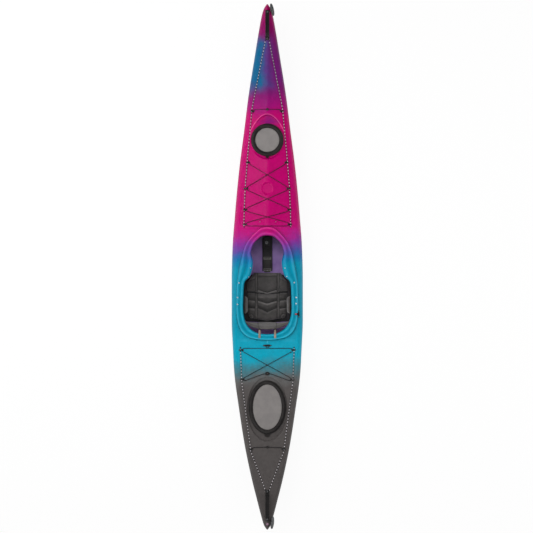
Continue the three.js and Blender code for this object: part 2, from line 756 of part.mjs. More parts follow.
function hullShell() {
  const { lip, riser } = cockpitRim();
  const full = joined([hullBody(0, outerStations), hatchPlinth(0), ...boltPlaces.map(boltBoss)]);
  const outer = full.subtract(recesses(0));
  const inner = hollow.add(hatchPlinth(wall)).subtract(recesses(wall));
  const shell = outer.subtract(inner).subtract(cockpitHole());
  const withRim = shell.add(riser.subtract(hollow)).add(lip);
  const withNecks = joined([withRim, hatchNeck(frontHatch), hatchNeck(rearHatch)]);
  const cuts = [hatchMouth(frontHatch), hatchMouth(rearHatch), skegSlotCut(), drainPassage()];
  const cut = cuts.reduce((body, tool) => body.subtract(tool), withNecks);
  // Any sliver of space closed off where the rim joins the deck is filled.
  const [body] = cut.decompose().sort((one, other) => other.volume() - one.volume());
  return body;
}

// Hatch covers

function coverRows(hatch) {
  const floor = hatchFloor(hatch);
  const top = floor + neckHeight;
  const row = (inset, z) => [hatch.halfWidth - inset, hatch.halfLength - inset, z];
  const skirt = neckInset - coverFit;
  return [
    row(hatch.panelMargin + coverCrown, top + gap),
    row(skirt, top + gap),
    row(skirt, floor + coverFoot),
    row(coverEdge, floor + coverFoot),
    row(0, floor + coverFoot + coverEdge),
    row(0, top),
    row(coverEdge, top + coverCrown / 2),
    row(2 * coverEdge, top + coverCrown - coverEdge / 2),
    row(neckInset - coverEdge, top + coverCrown),
    row(neckInset + coverEdge, top + coverCrown),
    row(hatch.panelMargin - coverEdge, top + coverCrown / 2),
    row(hatch.panelMargin, top + gap + coverWeb),
  ];
}

function hatchCover(hatch, tab) {
  const ring = solid(ovalStack(coverRows(hatch), 0, hatch.centre));
  const floor = hatchFloor(hatch);
  const tabPlace = hatch.centre - hatch.halfLength;
  const low = floor + coverFoot + coverEdge / 2;
  const ear = solid(ovalStack([
    [tab.halfWidth, tab.reach, low],
    [tab.halfWidth, tab.reach, low + tabThickness - coverEdge / 4],
    [tab.halfWidth - coverEdge / 2, tab.reach - coverEdge / 2, low + tabThickness],
  ], 0, tabPlace, 20));
  const socket = solid(ovalStack([
    [hatch.halfWidth - neckInset / 2, hatch.halfLength - neckInset / 2, floor],
    [hatch.halfWidth - neckInset / 2, hatch.halfLength - neckInset / 2, deckTop],
  ], 0, hatch.centre));
  return ring.add(ear.subtract(socket));
}

function hatchPanel(hatch) {
  const low = hatchFloor(hatch) + neckHeight + coverWeb + 2 * gap;
  const margin = hatch.panelMargin + coverFit;
  const row = (inset, z) => [hatch.halfWidth - margin - inset, hatch.halfLength - margin - inset, z];
  const top = low + panelThickness;
  const edge = [row(0, low), row(0, top - panelCrown), row(panelCrown, top - panelCrown / 2)];
  return ovalStack([...edge, row(panelRound, top)], 0, hatch.centre);
}

// Handles and toggles

function handleStrap({ from, to }) {
  const [low, high] = [handleSeat(from) + gap, handleSeat(to) + gap];
  const crest = Math.max(low, high) + handleRise;
  const [start, end] = [from + handleFoot / 2, to - handleFoot / 2];
  const under = [
    [start - handleFoot, low], [start, low], [start + handleBend, mix(low, crest, handleBendShare)],
    [start + 2 * handleBend, crest], [end - 2 * handleBend, crest],
    [end - handleBend, mix(high, crest, handleBendShare)], [end, high], [end + handleFoot, high],
  ];
  const over = [...under].reverse().map(([y, z]) => [y, z + handleThickness]);
  const points = [...under, ...over].map(([y, z]) => new THREE.Vector2(y, z));
  return plateAcross(points, -handleWidth / 2, handleWidth / 2);
}

function toggleSpindle() {
  const points = toggleProfileShares.map(([along, girth]) => {
    return new THREE.Vector2(girth * toggleRadius, (along - 0.5) * toggleLength);
  });
  return new THREE.LatheGeometry(points, 10);
}

// The toggle lies along the bevel between gunwale and shoulder, on the cord from the handle's bolt.
function toggle({ bolt, beyondBolt, turnDegrees }) {
  const y = bolt + beyondBolt;
  const section = halfSection(y, 0);
  const edge = [gunwaleIndex, gunwaleIndex + 1, shoulderIndex];
  const [gunwale, bevel, shoulder] = edge.map((k) => new THREE.Vector2(...section[k]));
  const slope = shoulder.clone().sub(gunwale).normalize();
  const away = new THREE.Vector2(slope.y, -slope.x);
  const middle = bevel.clone().addScaledVector(away, toggleRadius + 4 * gap);
  const turn = THREE.MathUtils.degToRad(turnDegrees);
  const grip = solid(toggleSpindle().rotateZ(turn).translate(middle.x, y, middle.y));
  const top = handleSeat(bolt) + handleThickness;
  const cordEnd = new THREE.Vector3(handleWidth / 2 + toggleCord / 2 - gap, bolt, top - toggleCord / 2 + gap);
  const { acrossShare, alongShare } = toggleCordCrest;
  const crest = new THREE.Vector3(mix(cordEnd.x, middle.x, acrossShare), mix(bolt, y, alongShare), top + gap);
  const inGrip = new THREE.Vector3(middle.x, y, middle.y + toggleRadius / 2);
  const cord = solid(cordTube([cordEnd, crest, inGrip], toggleCord));
  return geometryOf(grip.add(cord));
}

// Cords

class CordRoute extends THREE.Curve {
  constructor(points) {
    super();
    this.points = points;
  }

  getPoint(t, target = new THREE.Vector3()) {
    const at = Math.min(Math.max(t, 0), 1) * (this.points.length - 1);
    const k = Math.min(Math.floor(at), this.points.length - 2);
    return target.copy(this.points[k]).lerp(this.points[k + 1], at - k);
  }

  getPointAt(u, target) {
    return this.getPoint(u, target);
  }

  getTangentAt(u, target = new THREE.Vector3()) {
    const step = 1 / (this.points.length - 1);
    const ahead = this.getPoint(u + step / 2);
    return target.copy(ahead).sub(this.getPoint(u - step / 2)).normalize();
  }
}

function cordTube(points, diameter) {
  const section = new THREE.Shape();
  section.absarc(0, 0, diameter / 2, 0, Math.PI * 2, false);
  const route = new CordRoute(points);
  return new THREE.ExtrudeGeometry(section, {
    extrudePath: route, steps: points.length - 1, curveSegments: cordSides / 2, bevelEnabled: false,
  });
}

function deckSlope(x, y) {
  const step = eyeFoot;
  return Math.atan2(deckHeight(Math.abs(x) - step, y) - deckHeight(Math.abs(x) + step, y), 2 * step);
}

function aboveDeck(x, y, height) {
  const slope = deckSlope(x, y);
  const outward = Math.abs(x) < eyeFoot ? 0 : Math.sign(x) * Math.sin(slope) * height;
  return new THREE.Vector3(x + outward, y, deckHeight(x, y) + height * Math.cos(slope));
}

// A route over the deck. Each point is x, y and the lift of the cord's underside above the deck.
function cordOverDeck(route, diameter, longestStep) {
  const points = [];
  route.forEach(([x, y, lift], k) => {
    if (k > 0) {
      const [lastX, lastY, lastLift] = route[k - 1];
      const count = Math.max(Math.ceil(Math.hypot(x - lastX, y - lastY) / longestStep), 1);
      for (let step = 1; step < count; step += 1) {
        const share = step / count;
        const height = mix(lastLift, lift, share) + diameter / 2;
        points.push(aboveDeck(mix(lastX, x, share), mix(lastY, y, share), height));
      }
    }
    points.push(aboveDeck(x, y, lift + diameter / 2));
  });
  return cordTube(points, diameter);
}

// Deck fittings: two small arches side by side, the outer for the deck line, the inner for the bungee

function lineEyeX(fitting) {
  return fitting.x + eyeSpacing / 2;
}

function bungeeEyeX(fitting) {
  return fitting.x - eyeSpacing / 2;
}

function archPoints(middle, radius, from, to, count) {
  const centre = eyeHeight - eyeHalf;
  return Array.from({ length: count + 1 }, (unused, k) => {
    const angle = mix(from, to, k / count);
    return new THREE.Vector2(middle + radius * Math.cos(angle), centre + radius * Math.sin(angle));
  });
}

function fittingOutline() {
  const [left, right] = [-eyeSpacing / 2, eyeSpacing / 2];
  const edge = eyeHalf + eyeBand;
  const foot = edge + eyeFoot;
  const corner = (x, z) => new THREE.Vector2(x, z);
  return [
    corner(left - foot, -fittingSink), corner(left - eyeHalf, -fittingSink),
    ...archPoints(left, eyeHalf, Math.PI, 0, 4), corner(left + eyeHalf, -fittingSink),
    corner(right - eyeHalf, -fittingSink), ...archPoints(right, eyeHalf, Math.PI, 0, 4),
    corner(right + eyeHalf, -fittingSink), corner(right + foot, -fittingSink),
    corner(right + foot, eyeFootHeight), corner(right + edge, eyeFootHeight),
    ...archPoints(right, edge, 0, Math.PI / 2, 2), ...archPoints(left, edge, Math.PI / 2, Math.PI, 2),
    corner(left - edge, eyeFootHeight), corner(left - foot, eyeFootHeight),
  ];
}

function deckFitting(fitting, side) {
  const arches = extruded(new THREE.Shape(fittingOutline()), eyeDepth, 1);
  arches.translate(0, 0, -eyeDepth / 2).rotateX(Math.PI / 2).rotateY(side * deckSlope(fitting.x, fitting.y));
  const seat = deckHeight(fitting.x, fitting.y);
  return geometryOf(solid(placed(arches, side * fitting.x, fitting.y, seat)).subtract(skin));
}

// A low dome on the middle line with a tunnel across it for the bungee.
function bungeeGuide({ y, halfWidth, halfLength }) {
  const seat = deckHeight(0, y);
  const round = eyeBand;
  const dome = solid(ovalStack([
    [halfWidth, halfLength, seat - fittingSink],
    [halfWidth, halfLength, seat + guideHeight - round],
    [halfWidth - round, halfLength - round, seat + guideHeight],
  ], 0, y, 20));
  const tunnelTop = seat + cordLift + bungeeDiameter + 2 * gap;
  const tunnelHalf = bungeeDiameter / 2 + 3 * gap;
  const reach = halfWidth + overrun;
  const tunnel = solid(box(-reach, reach, y - tunnelHalf, y + tunnelHalf, seat - 2 * fittingSink, tunnelTop));
  return geometryOf(dome.subtract(tunnel).subtract(skin));
}

// Deck lines

function lineThrough(names, side, towards) {
  return names.flatMap((name) => {
    const fitting = fittings[name];
    const x = side * lineEyeX(fitting);
    return [eyeDepth, 0, -eyeDepth].map((along) => [x, fitting.y + towards * along, cordLift]);
  });
}

// The half turn round a handle's bolt, under the strap; towards is 1 for the bow and -1 for the stern.
function roundBolt(bolt, towards) {
  const reach = Math.hypot(handleWidth / 2, handleFoot / 2) + lineDiameter;
  const angles = [0, 30, 60, 90, 120, 150, 180].map(THREE.MathUtils.degToRad);
  return angles.map((angle) => [reach * Math.cos(angle), bolt + towards * reach * Math.sin(angle), cordLift]);
}

function perimeterLine(names, bolt, towards) {
  const last = fittings[names[names.length - 1]];
  const tail = (side) => [side * lineEyeX(last), last.y - towards * lineTail, cordLift];
  const starboard = [tail(1), ...lineThrough(names, 1, towards).reverse()];
  const port = [...lineThrough(names, -1, towards), tail(-1)];
  return cordOverDeck([...starboard, ...roundBolt(bolt, towards), ...port], lineDiameter, lineStep);
}

// Bungees

// The bend of a bungee through an eye, from one side of the fitting along the hull to the other.
function bendThrough(fitting, side, towards) {
  const x = bungeeEyeX(fitting);
  const place = ([along, inward]) => {
    return [side * (x - inward * bungeeReturn), fitting.y + towards * along * bungeeBend, cordLift];
  };
  const after = bungeeBendShares.map(place);
  const before = [...bungeeBendShares].reverse().map(([along, inward]) => place([-along, inward]));
  return [...before, [side * x, fitting.y, cordLift], ...after];
}

// The end of a bungee: half a bend, then a short straight tail beyond the eye.
function bungeeEnd(fitting, side, towards) {
  const half = bendThrough(fitting, side, towards).slice(0, bungeeBendShares.length + 1);
  return [...half, [side * bungeeEyeX(fitting), fitting.y + towards * bungeeBend, cordLift]];
}

function overGuide(guide) {
  const reach = guide.halfWidth + bungeeDiameter;
  return [[reach, guide.y, cordLift], [0, guide.y, cordLift], [-reach, guide.y, cordLift]];
}

function guidedBungee(fitting, guide, tailTowards) {
  const starboard = bungeeEnd(fitting, 1, tailTowards).reverse();
  const port = bungeeEnd(fitting, -1, tailTowards);
  return cordOverDeck([...starboard, ...overGuide(guide), ...port], bungeeDiameter, bungeeStep);
}

function crossing(from, to, lift) {
  return [0, mix(from.y, to.y, bungeeEyeX(from) / (bungeeEyeX(from) + bungeeEyeX(to))), lift];
}

function frontDeckBungee() {
  const { b, c, d, e } = fittings;
  const down = [
    ...bungeeEnd(b, -1, 1).reverse(), crossing(b, c, cordLift), ...bendThrough(c, 1, -1),
    crossing(c, d, cordLift), ...bendThrough(d, -1, -1), crossing(d, e, cordLift), ...bendThrough(e, 1, -1),
  ];
  const up = [
    ...bendThrough(e, -1, 1), crossing(d, e, crossLift), ...bendThrough(d, 1, 1), crossing(c, d, crossLift),
    ...bendThrough(c, -1, 1), crossing(b, c, crossLift), ...bungeeEnd(b, 1, 1),
  ];
  return cordOverDeck([...down, ...up], bungeeDiameter, bungeeStep);
}

function rearDeckBungee() {
  const { f, g } = fittings;
  const knot = [bungeeEyeX(f) - 2 * bungeeReturn, f.y - 2 * bungeeBend, cordLift];
  const route = [
    ...bungeeEnd(f, 1, -1).reverse(), ...bendThrough(f, -1, -1), crossing(f, g, cordLift),
    ...bendThrough(g, 1, -1), ...overGuide(guides.middle), ...bendThrough(g, -1, 1),
    crossing(f, g, crossLift), knot,
  ];
  return cordOverDeck(route, bungeeDiameter, bungeeStep);
}

function cockpitPadeye() {
  const seat = deckHeight(0, padeyePlace);
  const row = (inset, z) => [padeye.halfWidth - inset, padeye.halfLength - inset, z];
  const top = seat + padeye.thickness;
  const rows = [row(0, seat - fittingSink), row(0, top - gap), row(2 * gap, top)];
  const plate = solid(ovalStack(rows, 0, padeyePlace, 20)).subtract(skin);
  const angles = [0, 30, 60, 90, 120, 150, 180].map(THREE.MathUtils.degToRad);
  const loop = angles.map((angle) => {
    const back = Math.sin(angle);
    const x = padeye.loop * Math.cos(angle);
    return new THREE.Vector3(x, padeyePlace - padeye.loopReach * back, top + padeye.wire * back);
  });
  return geometryOf(plate.add(solid(cordTube(loop, padeye.wire))));
}

// Skeg

function skegBox() {
  const half = skegSlot.width / 2;
  const { front, rear } = skegSlot;
  const across = half + skegBoxWall;
  const outer = box(-across, across, rear - skegBoxWall, front + skegBoxWall, 0, skegBoxTop);
  const inner = box(-half, half, rear, front, -overrun, skegBoxTop - skegBoxWall);
  const cut = skegPinRod(skegPinPlay);
  return geometryOf(solid(outer).intersect(fitted).subtract(solid(inner)).subtract(cut));
}

function skegPinRod(play) {
  const reach = skegSlot.width / 2 + skegBoxWall + skegPinProud;
  const from = new THREE.Vector3(-reach, skegPivot.y, skegPivot.z);
  const to = new THREE.Vector3(reach, skegPivot.y, skegPivot.z);
  return solid(rod(from, to, skegPin / 2 + play, 16));
}

function skegBlade() {
  const outline = skegOutlineShares.map(([aft, up]) => {
    return new THREE.Vector2(skegPivot.y - aft * skegReach, skegPivot.z + up * skegDepth);
  });
  const blade = solid(plateAcross(outline, -skegThickness / 2, skegThickness / 2));
  return geometryOf(blade.subtract(skegPinRod(skegPinPlay)));
}

const cableTop = { x: (hullBeam / 2) * cableTopShare, y: cleatPlace };
const cableRoute = cableRouteShares.map(([across, along, up]) => {
  return new THREE.Vector3((hullBeam / 2) * across, hullHalfLength * along, hullHeight * up);
});

function skegCable() {
  const start = new THREE.Vector3(0, skegSlot.front + skegBoxWall + gap, cableRoute[0].z);
  const under = deckHeight(cableTop.x, cableTop.y) - wall - cableHeadroom;
  const bendZ = (cableRoute[cableRoute.length - 1].z + under) / 2;
  const bend = new THREE.Vector3(cableTop.x - gap, cableTop.y - 2 * skegLine, bendZ);
  return cordTube([start, ...cableRoute, bend, new THREE.Vector3(cableTop.x, cableTop.y, under)], skegLine);
}

function cleatSeat() {
  return rimHeight(cleatPlace) + gap;
}

function skegCleat() {
  const low = cleatSeat();
  const top = low + cleatArm.thickness;
  const bend = openingHalfWidth * rimEdgeShares[widestRimRow][2] + 2 * gap;
  const armHalf = cleatArm.width / 2;
  const armEnd = bend + cleatBar.width / 2;
  const arm = box(cleatArm.inner, armEnd, cleatPlace - armHalf, cleatPlace + armHalf, low, top);
  const { halfLength, drop, taperShare } = cleatBar;
  const outline = [
    [-halfLength, top], [halfLength, top], [halfLength, low],
    [halfLength * taperShare, low - drop], [-halfLength * taperShare, low - drop], [-halfLength, low],
  ].map(([y, z]) => new THREE.Vector2(cleatPlace + y, z));
  const bar = plateAcross(outline, bend, bend + cleatBar.width);
  return geometryOf(solid(arm).add(solid(bar)));
}

function skegKnob() {
  const profile = Array.from({ length: knobSteps + 1 }, (unused, k) => {
    const angle = mix(-Math.PI / 2, Math.PI / 2, k / knobSteps);
    return new THREE.Vector2(knobRadius * Math.max(Math.cos(angle), 0), knobRadius * Math.sin(angle));
  });
  profile[0].x = 0;
  profile[knobSteps].x = 0;
  const centre = cleatSeat() + cleatArm.thickness + knobRadius + gap;
  return placed(new THREE.LatheGeometry(profile, 12), knobPlace, cleatPlace, centre);
}

function drainPlug() {
  const top = deckHeight(0, plugPlace) + 4 * gap;
  const at = (z) => new THREE.Vector3(0, plugPlace, z);
  const middle = top + plugHeadHeight / 2;
  const shank = rod(at(top - plugDepth), at(middle), plugShank / 2, 16);
  const head = rod(at(top), at(top + plugHeadHeight), plugHead / 2, 20);
  const [reach, half] = [plugHead / 3, plugGrip / 4];
  const gripTop = top + plugHeadHeight + plugGrip;
  const grip = box(-reach, reach, plugPlace - half, plugPlace + half, middle, gripTop);
  return geometryOf(joined([shank, head, grip].map(solid)));
}

// Bulkheads

function bulkhead(place) {
  const half = bulkheadThickness / 2;
  const slab = solid(box(-hullBeam, hullBeam, place - half, place + half, -overrun, hullHeight));
  return slab.intersect(fitted).subtract(recesses(wall + gap));
}

function rearBulkhead() {
  const grown = solid(cordTube(cableRoute, skegLine + 2 * cablePlay));
  return bulkhead(rearBulkheadPlace).subtract(grown);
}

// Seat

const seatBase = wall + gap + seatShell;
const seatSideCurve = smoothCurve(column(seatSideShares, 0), column(seatSideShares, 1));

function mirroredRing(half, y) {
  const port = [...half].reverse().map(([x, z]) => [-x, z]);
  return [...half, ...port].map(([x, z]) => new THREE.Vector3(x, y, z));
}

// One ring of the seat shell's outside, whose sides rise to the height that the seat has there.
function seatRing(along) {
  const height = seatSideCurve(along) * wingHeight;
  const half = seatSectionShares.map(([across, up]) => {
    return [across * seatHalfWidth + seatShell, seatBase + Math.min(up * wingHeight, height) - seatShell];
  });
  half[half.length - 1][1] = seatBase + height;
  return mirroredRing(half, mix(seatFront, seatRear, along));
}

// The space inside the seat shell, drawn in by a margin.
function seatSpace(margin) {
  const half = seatSectionShares.map(([across, up]) => {
    return [across * seatHalfWidth - margin, seatBase + up * wingHeight + margin];
  });
  half[half.length - 1][1] = hullHeight;
  return solid(loft([seatFront + 2 * overrun, seatRear - 2 * overrun].map((y) => mirroredRing(half, y))));
}

function seatPan() {
  const outside = solid(loft(column(seatSideShares, 0).map(seatRing)));
  return geometryOf(outside.subtract(seatSpace(0)).intersect(fitted));
}

// One ring of a pad, whose middle is shifted to the rear so that its edge makes a wide V.
function padRing(y, halfWidth, low, thickness, shift) {
  const half = padSectionShares.map(([across, up]) => [across * halfWidth, low + up * thickness]);
  const port = half.slice(1).reverse().map(([x, z]) => [-x, z]);
  const bend = (x) => shift * (1 - Math.abs(x) / halfWidth);
  return [...half, [0, low], ...port].map(([x, z]) => new THREE.Vector3(x, y - bend(x), z));
}

function seatPadGeometry() {
  const rings = seatPadShares.map(([along, width, thickness]) => {
    const y = mix(cockpitPlaces.padFront, cockpitPlaces.padRear, along);
    const low = seatBase + gap;
    return padRing(y, seatPad.halfWidth * width, low, seatPad.thickness * thickness, legLifter.vee);
  });
  return geometryOf(solid(loft(rings)).intersect(seatSpace(gap)));
}

function legLifterGeometry() {
  const rings = legLifterShares.map(([along, spread, thickness]) => {
    const y = mix(cockpitPlaces.lifterFront, cockpitPlaces.lifterRear, along);
    const half = mix(legLifter.frontHalf, seatPad.halfWidth, spread);
    return padRing(y, half, seatBase + gap, legLifter.thickness * thickness, legLifter.vee * along);
  });
  return geometryOf(solid(loft(rings)).intersect(seatSpace(gap)));
}

function hipPadGeometry(side) {
  const face = seatHalfWidth - seatShell / 2 - gap;
  const middle = (hipPad.low + hipPad.high) / 2;
  const halfHeight = (hipPad.high - hipPad.low) / 2;
  const rings = hipPadShares.map(([along, height, thickness]) => {
    const y = mix(cockpitPlaces.hipFront, cockpitPlaces.hipRear, along);
    const upper = hipSectionShares.map(([across, out]) => {
      return [face - out * hipPad.thickness * thickness, middle + across * halfHeight * height];
    });
    const lower = [...upper].reverse().slice(0, -1).map(([x, z]) => [x, 2 * middle - z]);
    return [...upper, ...lower].map(([x, z]) => new THREE.Vector3(side * x, y, z));
  });
  return geometryOf(solid(loft(rings)).intersect(seatSpace(gap)));
}

function backbandPlace(across) {
  const bow = Math.sqrt(1 - across * across * backbandBowShare);
  const y = mix(cockpitPlaces.bandSides, cockpitPlaces.bandMiddle, bow);
  return new THREE.Vector2(across * bandHalfWidth, y);
}

function backbandGeometry() {
  const half = backbandShares.map(([across, height, thickness]) => {
    const place = backbandPlace(across);
    const middle = (backband.low + backband.high) / 2;
    const tall = (backband.high - backband.low) * height;
    return backbandSectionShares.map(([through, up]) => {
      const y = place.y - (through - 0.5) * backband.thickness * thickness;
      return new THREE.Vector3(place.x, y, middle + (up - 0.5) * tall);
    });
  });
  const mirrored = (point) => new THREE.Vector3(-point.x, point.y, point.z);
  const port = half.slice(1).reverse().map((ring) => ring.map(mirrored));
  return loft([...port, ...half]);
}

// A strap from behind the backband over the rear rim.
function backbandStrapGeometry(side) {
  const rimY = openingCentre - openingHalfLength;
  const { x, rise, thickness, width, dip } = backbandStrap;
  const top = rimHeight(rimY) + gap - dip;
  const bandBack = backbandPlace((x - width) / bandHalfWidth).y - backband.thickness / 2;
  const low = backband.high - 3 * width;
  const high = backband.high - width;
  const [front, back] = [bandBack - gap, bandBack - gap - thickness];
  const points = [
    [back, low], [back, high], [rimY + 2 * rise, top - rise], [rimY - rise, top], [rimY - 2 * width, top],
    [rimY - 2 * width, top + thickness], [rimY - rise, top + thickness],
    [rimY + 2 * rise, top - rise + thickness], [front, high + thickness], [front, low],
  ].map(([y, z]) => new THREE.Vector2(y, z));
  const middle = side * x;
  return plateAcross(points, middle - width / 2, middle + width / 2);
}

// Foot gear and the track ahead of the seat

function seatTrackGeometry() {
  const low = wall + gap;
  const [front, rear] = [cockpitPlaces.trackFront, cockpitPlaces.trackRear];
  const { halfWidth, thickness, rail, railWidth } = seatTrack;
  const plate = box(-halfWidth, halfWidth, rear, front, low, low + thickness);
  const rails = [-1, 1].map((side) => {
    const outer = side * halfWidth;
    const inner = side * (halfWidth - railWidth);
    return box(Math.min(outer, inner), Math.max(outer, inner), rear, front, low, low + thickness + rail);
  });
  return geometryOf(joined([plate, ...rails].map(solid)));
}

function lifterStrapGeometry() {
  const low = wall + gap + seatTrack.thickness + gap;
  const front = cockpitPlaces.strapFront;
  const { halfWidth, thickness, buckle, buckleHalf, buckleThickness } = lifterStrap;
  const rear = cockpitPlaces.lifterFront + 3 * gap;
  const webbing = box(-halfWidth, halfWidth, rear, front, low, low + thickness);
  const buckles = [front - buckle, cockpitPlaces.lifterFront + buckle].map((y) => {
    const half = Math.min(buckleHalf, seatTrack.halfWidth - seatTrack.railWidth - gap);
    return box(-half, half, y - buckle / 2, y + buckle / 2, low, low + buckleThickness);
  });
  return geometryOf(joined([webbing, ...buckles].map(solid)));
}

function thighPadGeometry(side, lip) {
  const rows = rimEdgeShares.slice(thighPadRows.from, thighPadRows.to + 1);
  const rings = rows.map((row) => {
    const station = rimStation(row, side);
    const top = rimProfileShares.slice(3, 6).map(([across, drop]) => {
      return lowered(rimPoint(station, across, drop), rimThickness);
    });
    return [...top, ...[...top].reverse().map((point) => lowered(point, thighPadThickness))];
  });
  return geometryOf(solid(loft(rings)).subtract(lip.translate(0, 0, -gap)));
}

// Half width inside the hull at a height below the gunwale.
function innerHalfWidth(y, z) {
  const side = halfSection(y, wall).slice(0, gunwaleIndex + 1);
  const k = Math.max(side.findIndex((point) => point[1] >= z), 1);
  const [[lowX, lowZ], [highX, highZ]] = [side[k - 1], side[k]];
  return mix(lowX, highX, (z - lowZ) / (highZ - lowZ));
}

const railFrontX = innerHalfWidth(railFront, footRail.low) - footRail.depth;
const railRearX = innerHalfWidth(railRear, footRail.low) - footRail.depth;

function footRailGeometry(side) {
  const { low, high } = footRail;
  const beyond = hullBeam / 2;
  const outline = [[railRearX, railRear], [beyond, railRear], [beyond, railFront], [railFrontX, railFront]];
  const shape = new THREE.Shape(outline.map(([x, y]) => new THREE.Vector2(side * x, y)));
  return geometryOf(solid(placed(extruded(shape, high - low, 1), 0, 0, low)).intersect(fitted));
}

function pedalGeometry() {
  const { height, width, thickness, carriage, carriageDepth, low, round } = pedal;
  const outer = -carriageDepth + gap;
  const outline = new THREE.Shape();
  outline.moveTo(outer, low + round);
  outline.lineTo(outer, low + height - round);
  outline.quadraticCurveTo(outer, low + height, outer - round, low + height);
  outline.lineTo(outer - width + round, low + height);
  outline.quadraticCurveTo(outer - width, low + height, outer - width, low + height - round);
  outline.lineTo(outer - width, low + round);
  outline.quadraticCurveTo(outer - width, low, outer - width + round, low);
  outline.lineTo(outer - round, low);
  outline.quadraticCurveTo(outer, low, outer, low + round);
  const plate = extruded(outline, thickness, 3).rotateX(Math.PI / 2).translate(0, thickness / 2, 0);
  const block = box(-carriageDepth, -gap, -carriage / 2, carriage / 2, footRail.low, footRail.high);
  return solid(plate).add(solid(block));
}

function footPedal(side) {
  const shape = side > 0 ? pedalGeometry() : pedalGeometry().mirror([1, 0, 0]);
  const turn = Math.atan2(railRearX - railFrontX, railFront - railRear);
  const geometry = geometryOf(shape).rotateZ(side * turn);
  const x = (railRearX + railFrontX) / 2;
  return placed(geometry, side * x, (railRear + railFront) / 2, 0);
}

// Finishes

const finishes = {
  hull: { color: 0xc40070, roughness: 0.38, metalness: 0 },
  rubber: { color: 0x2a2826, roughness: 0.8, metalness: 0 },
  panel: { color: 0x868280, roughness: 0.6, metalness: 0 },
  nylon: { color: 0x1c1c1d, roughness: 0.55, metalness: 0 },
  cord: { color: 0x161517, roughness: 0.85, metalness: 0 },
  webbing: { color: 0x1b1a1a, roughness: 0.9, metalness: 0 },
  grip: { color: 0x57585a, roughness: 0.7, metalness: 0 },
  fabric: { color: 0x42403e, roughness: 0.95, metalness: 0 },
  paleFabric: { color: 0x646160, roughness: 0.95, metalness: 0 },
  strap: { color: 0x9a8574, roughness: 0.85, metalness: 0 },
  plastic: { color: 0x262528, roughness: 0.6, metalness: 0 },
  foam: { color: 0x3a383a, roughness: 0.95, metalness: 0 },
  steel: { color: 0xb4b6b8, roughness: 0.3, metalness: 0.9 },
  accent: { color: 0xb03a40, roughness: 0.6, metalness: 0 },
};
const materials = Object.fromEntries(Object.entries(finishes).map(([name, finish]) => {
  return [name, new THREE.MeshStandardMaterial(finish)];
}));

const kayak = new THREE.Group();

function addPiece(name, geometry, finish) {
  const mesh = new THREE.Mesh(geometry, materials[finish]);
  mesh.name = name;
  kayak.add(mesh);
}

const sides = { port: -1, starboard: 1 };

function eachSide(add) {
  Object.entries(sides).forEach(([word, side]) => add(word, side));
}

// Assembly

addPiece('hull_shell', geometryOf(hullShell()), 'hull');
addPiece('front_bulkhead', geometryOf(bulkhead(frontBulkheadPlace)), 'foam');
addPiece('rear_bulkhead', geometryOf(rearBulkhead()), 'foam');
addPiece('skeg_box', skegBox(), 'plastic');
addPiece('skeg_blade', skegBlade(), 'plastic');
addPiece('skeg_pivot_pin', geometryOf(skegPinRod(0)), 'steel');
addPiece('skeg_cable_tube', skegCable(), 'plastic');
addPiece('skeg_cleat', skegCleat(), 'nylon');
addPiece('skeg_pull_knob', skegKnob(), 'accent');
addPiece('drain_plug', drainPlug(), 'rubber');

addPiece('front_hatch_cover', geometryOf(hatchCover(frontHatch, frontTab)), 'rubber');
addPiece('front_hatch_panel', hatchPanel(frontHatch), 'panel');
addPiece('rear_hatch_cover', geometryOf(hatchCover(rearHatch, rearTab)), 'rubber');
addPiece('rear_hatch_panel', hatchPanel(rearHatch), 'panel');

addPiece('seat_pan', seatPan(), 'plastic');
addPiece('seat_pad', seatPadGeometry(), 'fabric');
addPiece('leg_lifter', legLifterGeometry(), 'fabric');
addPiece('backband', backbandGeometry(), 'paleFabric');
addPiece('seat_track', seatTrackGeometry(), 'plastic');
addPiece('leg_lifter_strap', lifterStrapGeometry(), 'webbing');
const { lip } = cockpitRim();
eachSide((word, side) => {
  addPiece(`hip_pad_${word}`, hipPadGeometry(side), 'paleFabric');
  addPiece(`thigh_pad_${word}`, thighPadGeometry(side, lip), 'foam');
  addPiece(`backband_strap_${word}`, backbandStrapGeometry(side), 'strap');
  addPiece(`foot_rail_${word}`, footRailGeometry(side), 'plastic');
  addPiece(`foot_pedal_${word}`, footPedal(side), 'plastic');
});

addPiece('bow_handle_strap', handleStrap(bowHandle), 'webbing');
addPiece('stern_handle_strap', handleStrap(sternHandle), 'webbing');
addPiece('bow_toggle', toggle(bowToggle), 'grip');
addPiece('stern_toggle', toggle(sternToggle), 'grip');
addPiece('cockpit_padeye', cockpitPadeye(), 'nylon');

Object.entries(fittings).forEach(([letter, fitting]) => {
  eachSide((word, side) => addPiece(`deck_fitting_${letter}_${word}`, deckFitting(fitting, side), 'nylon'));
});
Object.entries(guides).forEach(([word, guide]) => {
  addPiece(`bungee_guide_${word}`, bungeeGuide(guide), 'nylon');
});

addPiece('front_perimeter_line', perimeterLine(['a', 'b', 'c', 'd', 'e'], bowHandle.from, 1), 'cord');
addPiece('rear_perimeter_line', perimeterLine(['h', 'g', 'f'], sternHandle.to, -1), 'cord');
addPiece('front_cross_bungee', guidedBungee(fittings.a, guides.front, 1), 'cord');
addPiece('front_deck_bungee', frontDeckBungee(), 'cord');
addPiece('rear_deck_bungee', rearDeckBungee(), 'cord');
addPiece('rear_paddle_bungee', guidedBungee(fittings.h, guides.rear, -1), 'cord');

export default kayak;
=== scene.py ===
import json
import math

import bmesh
import bpy
import numpy as np
from mathutils import Matrix, Vector
from mathutils.bvhtree import BVHTree

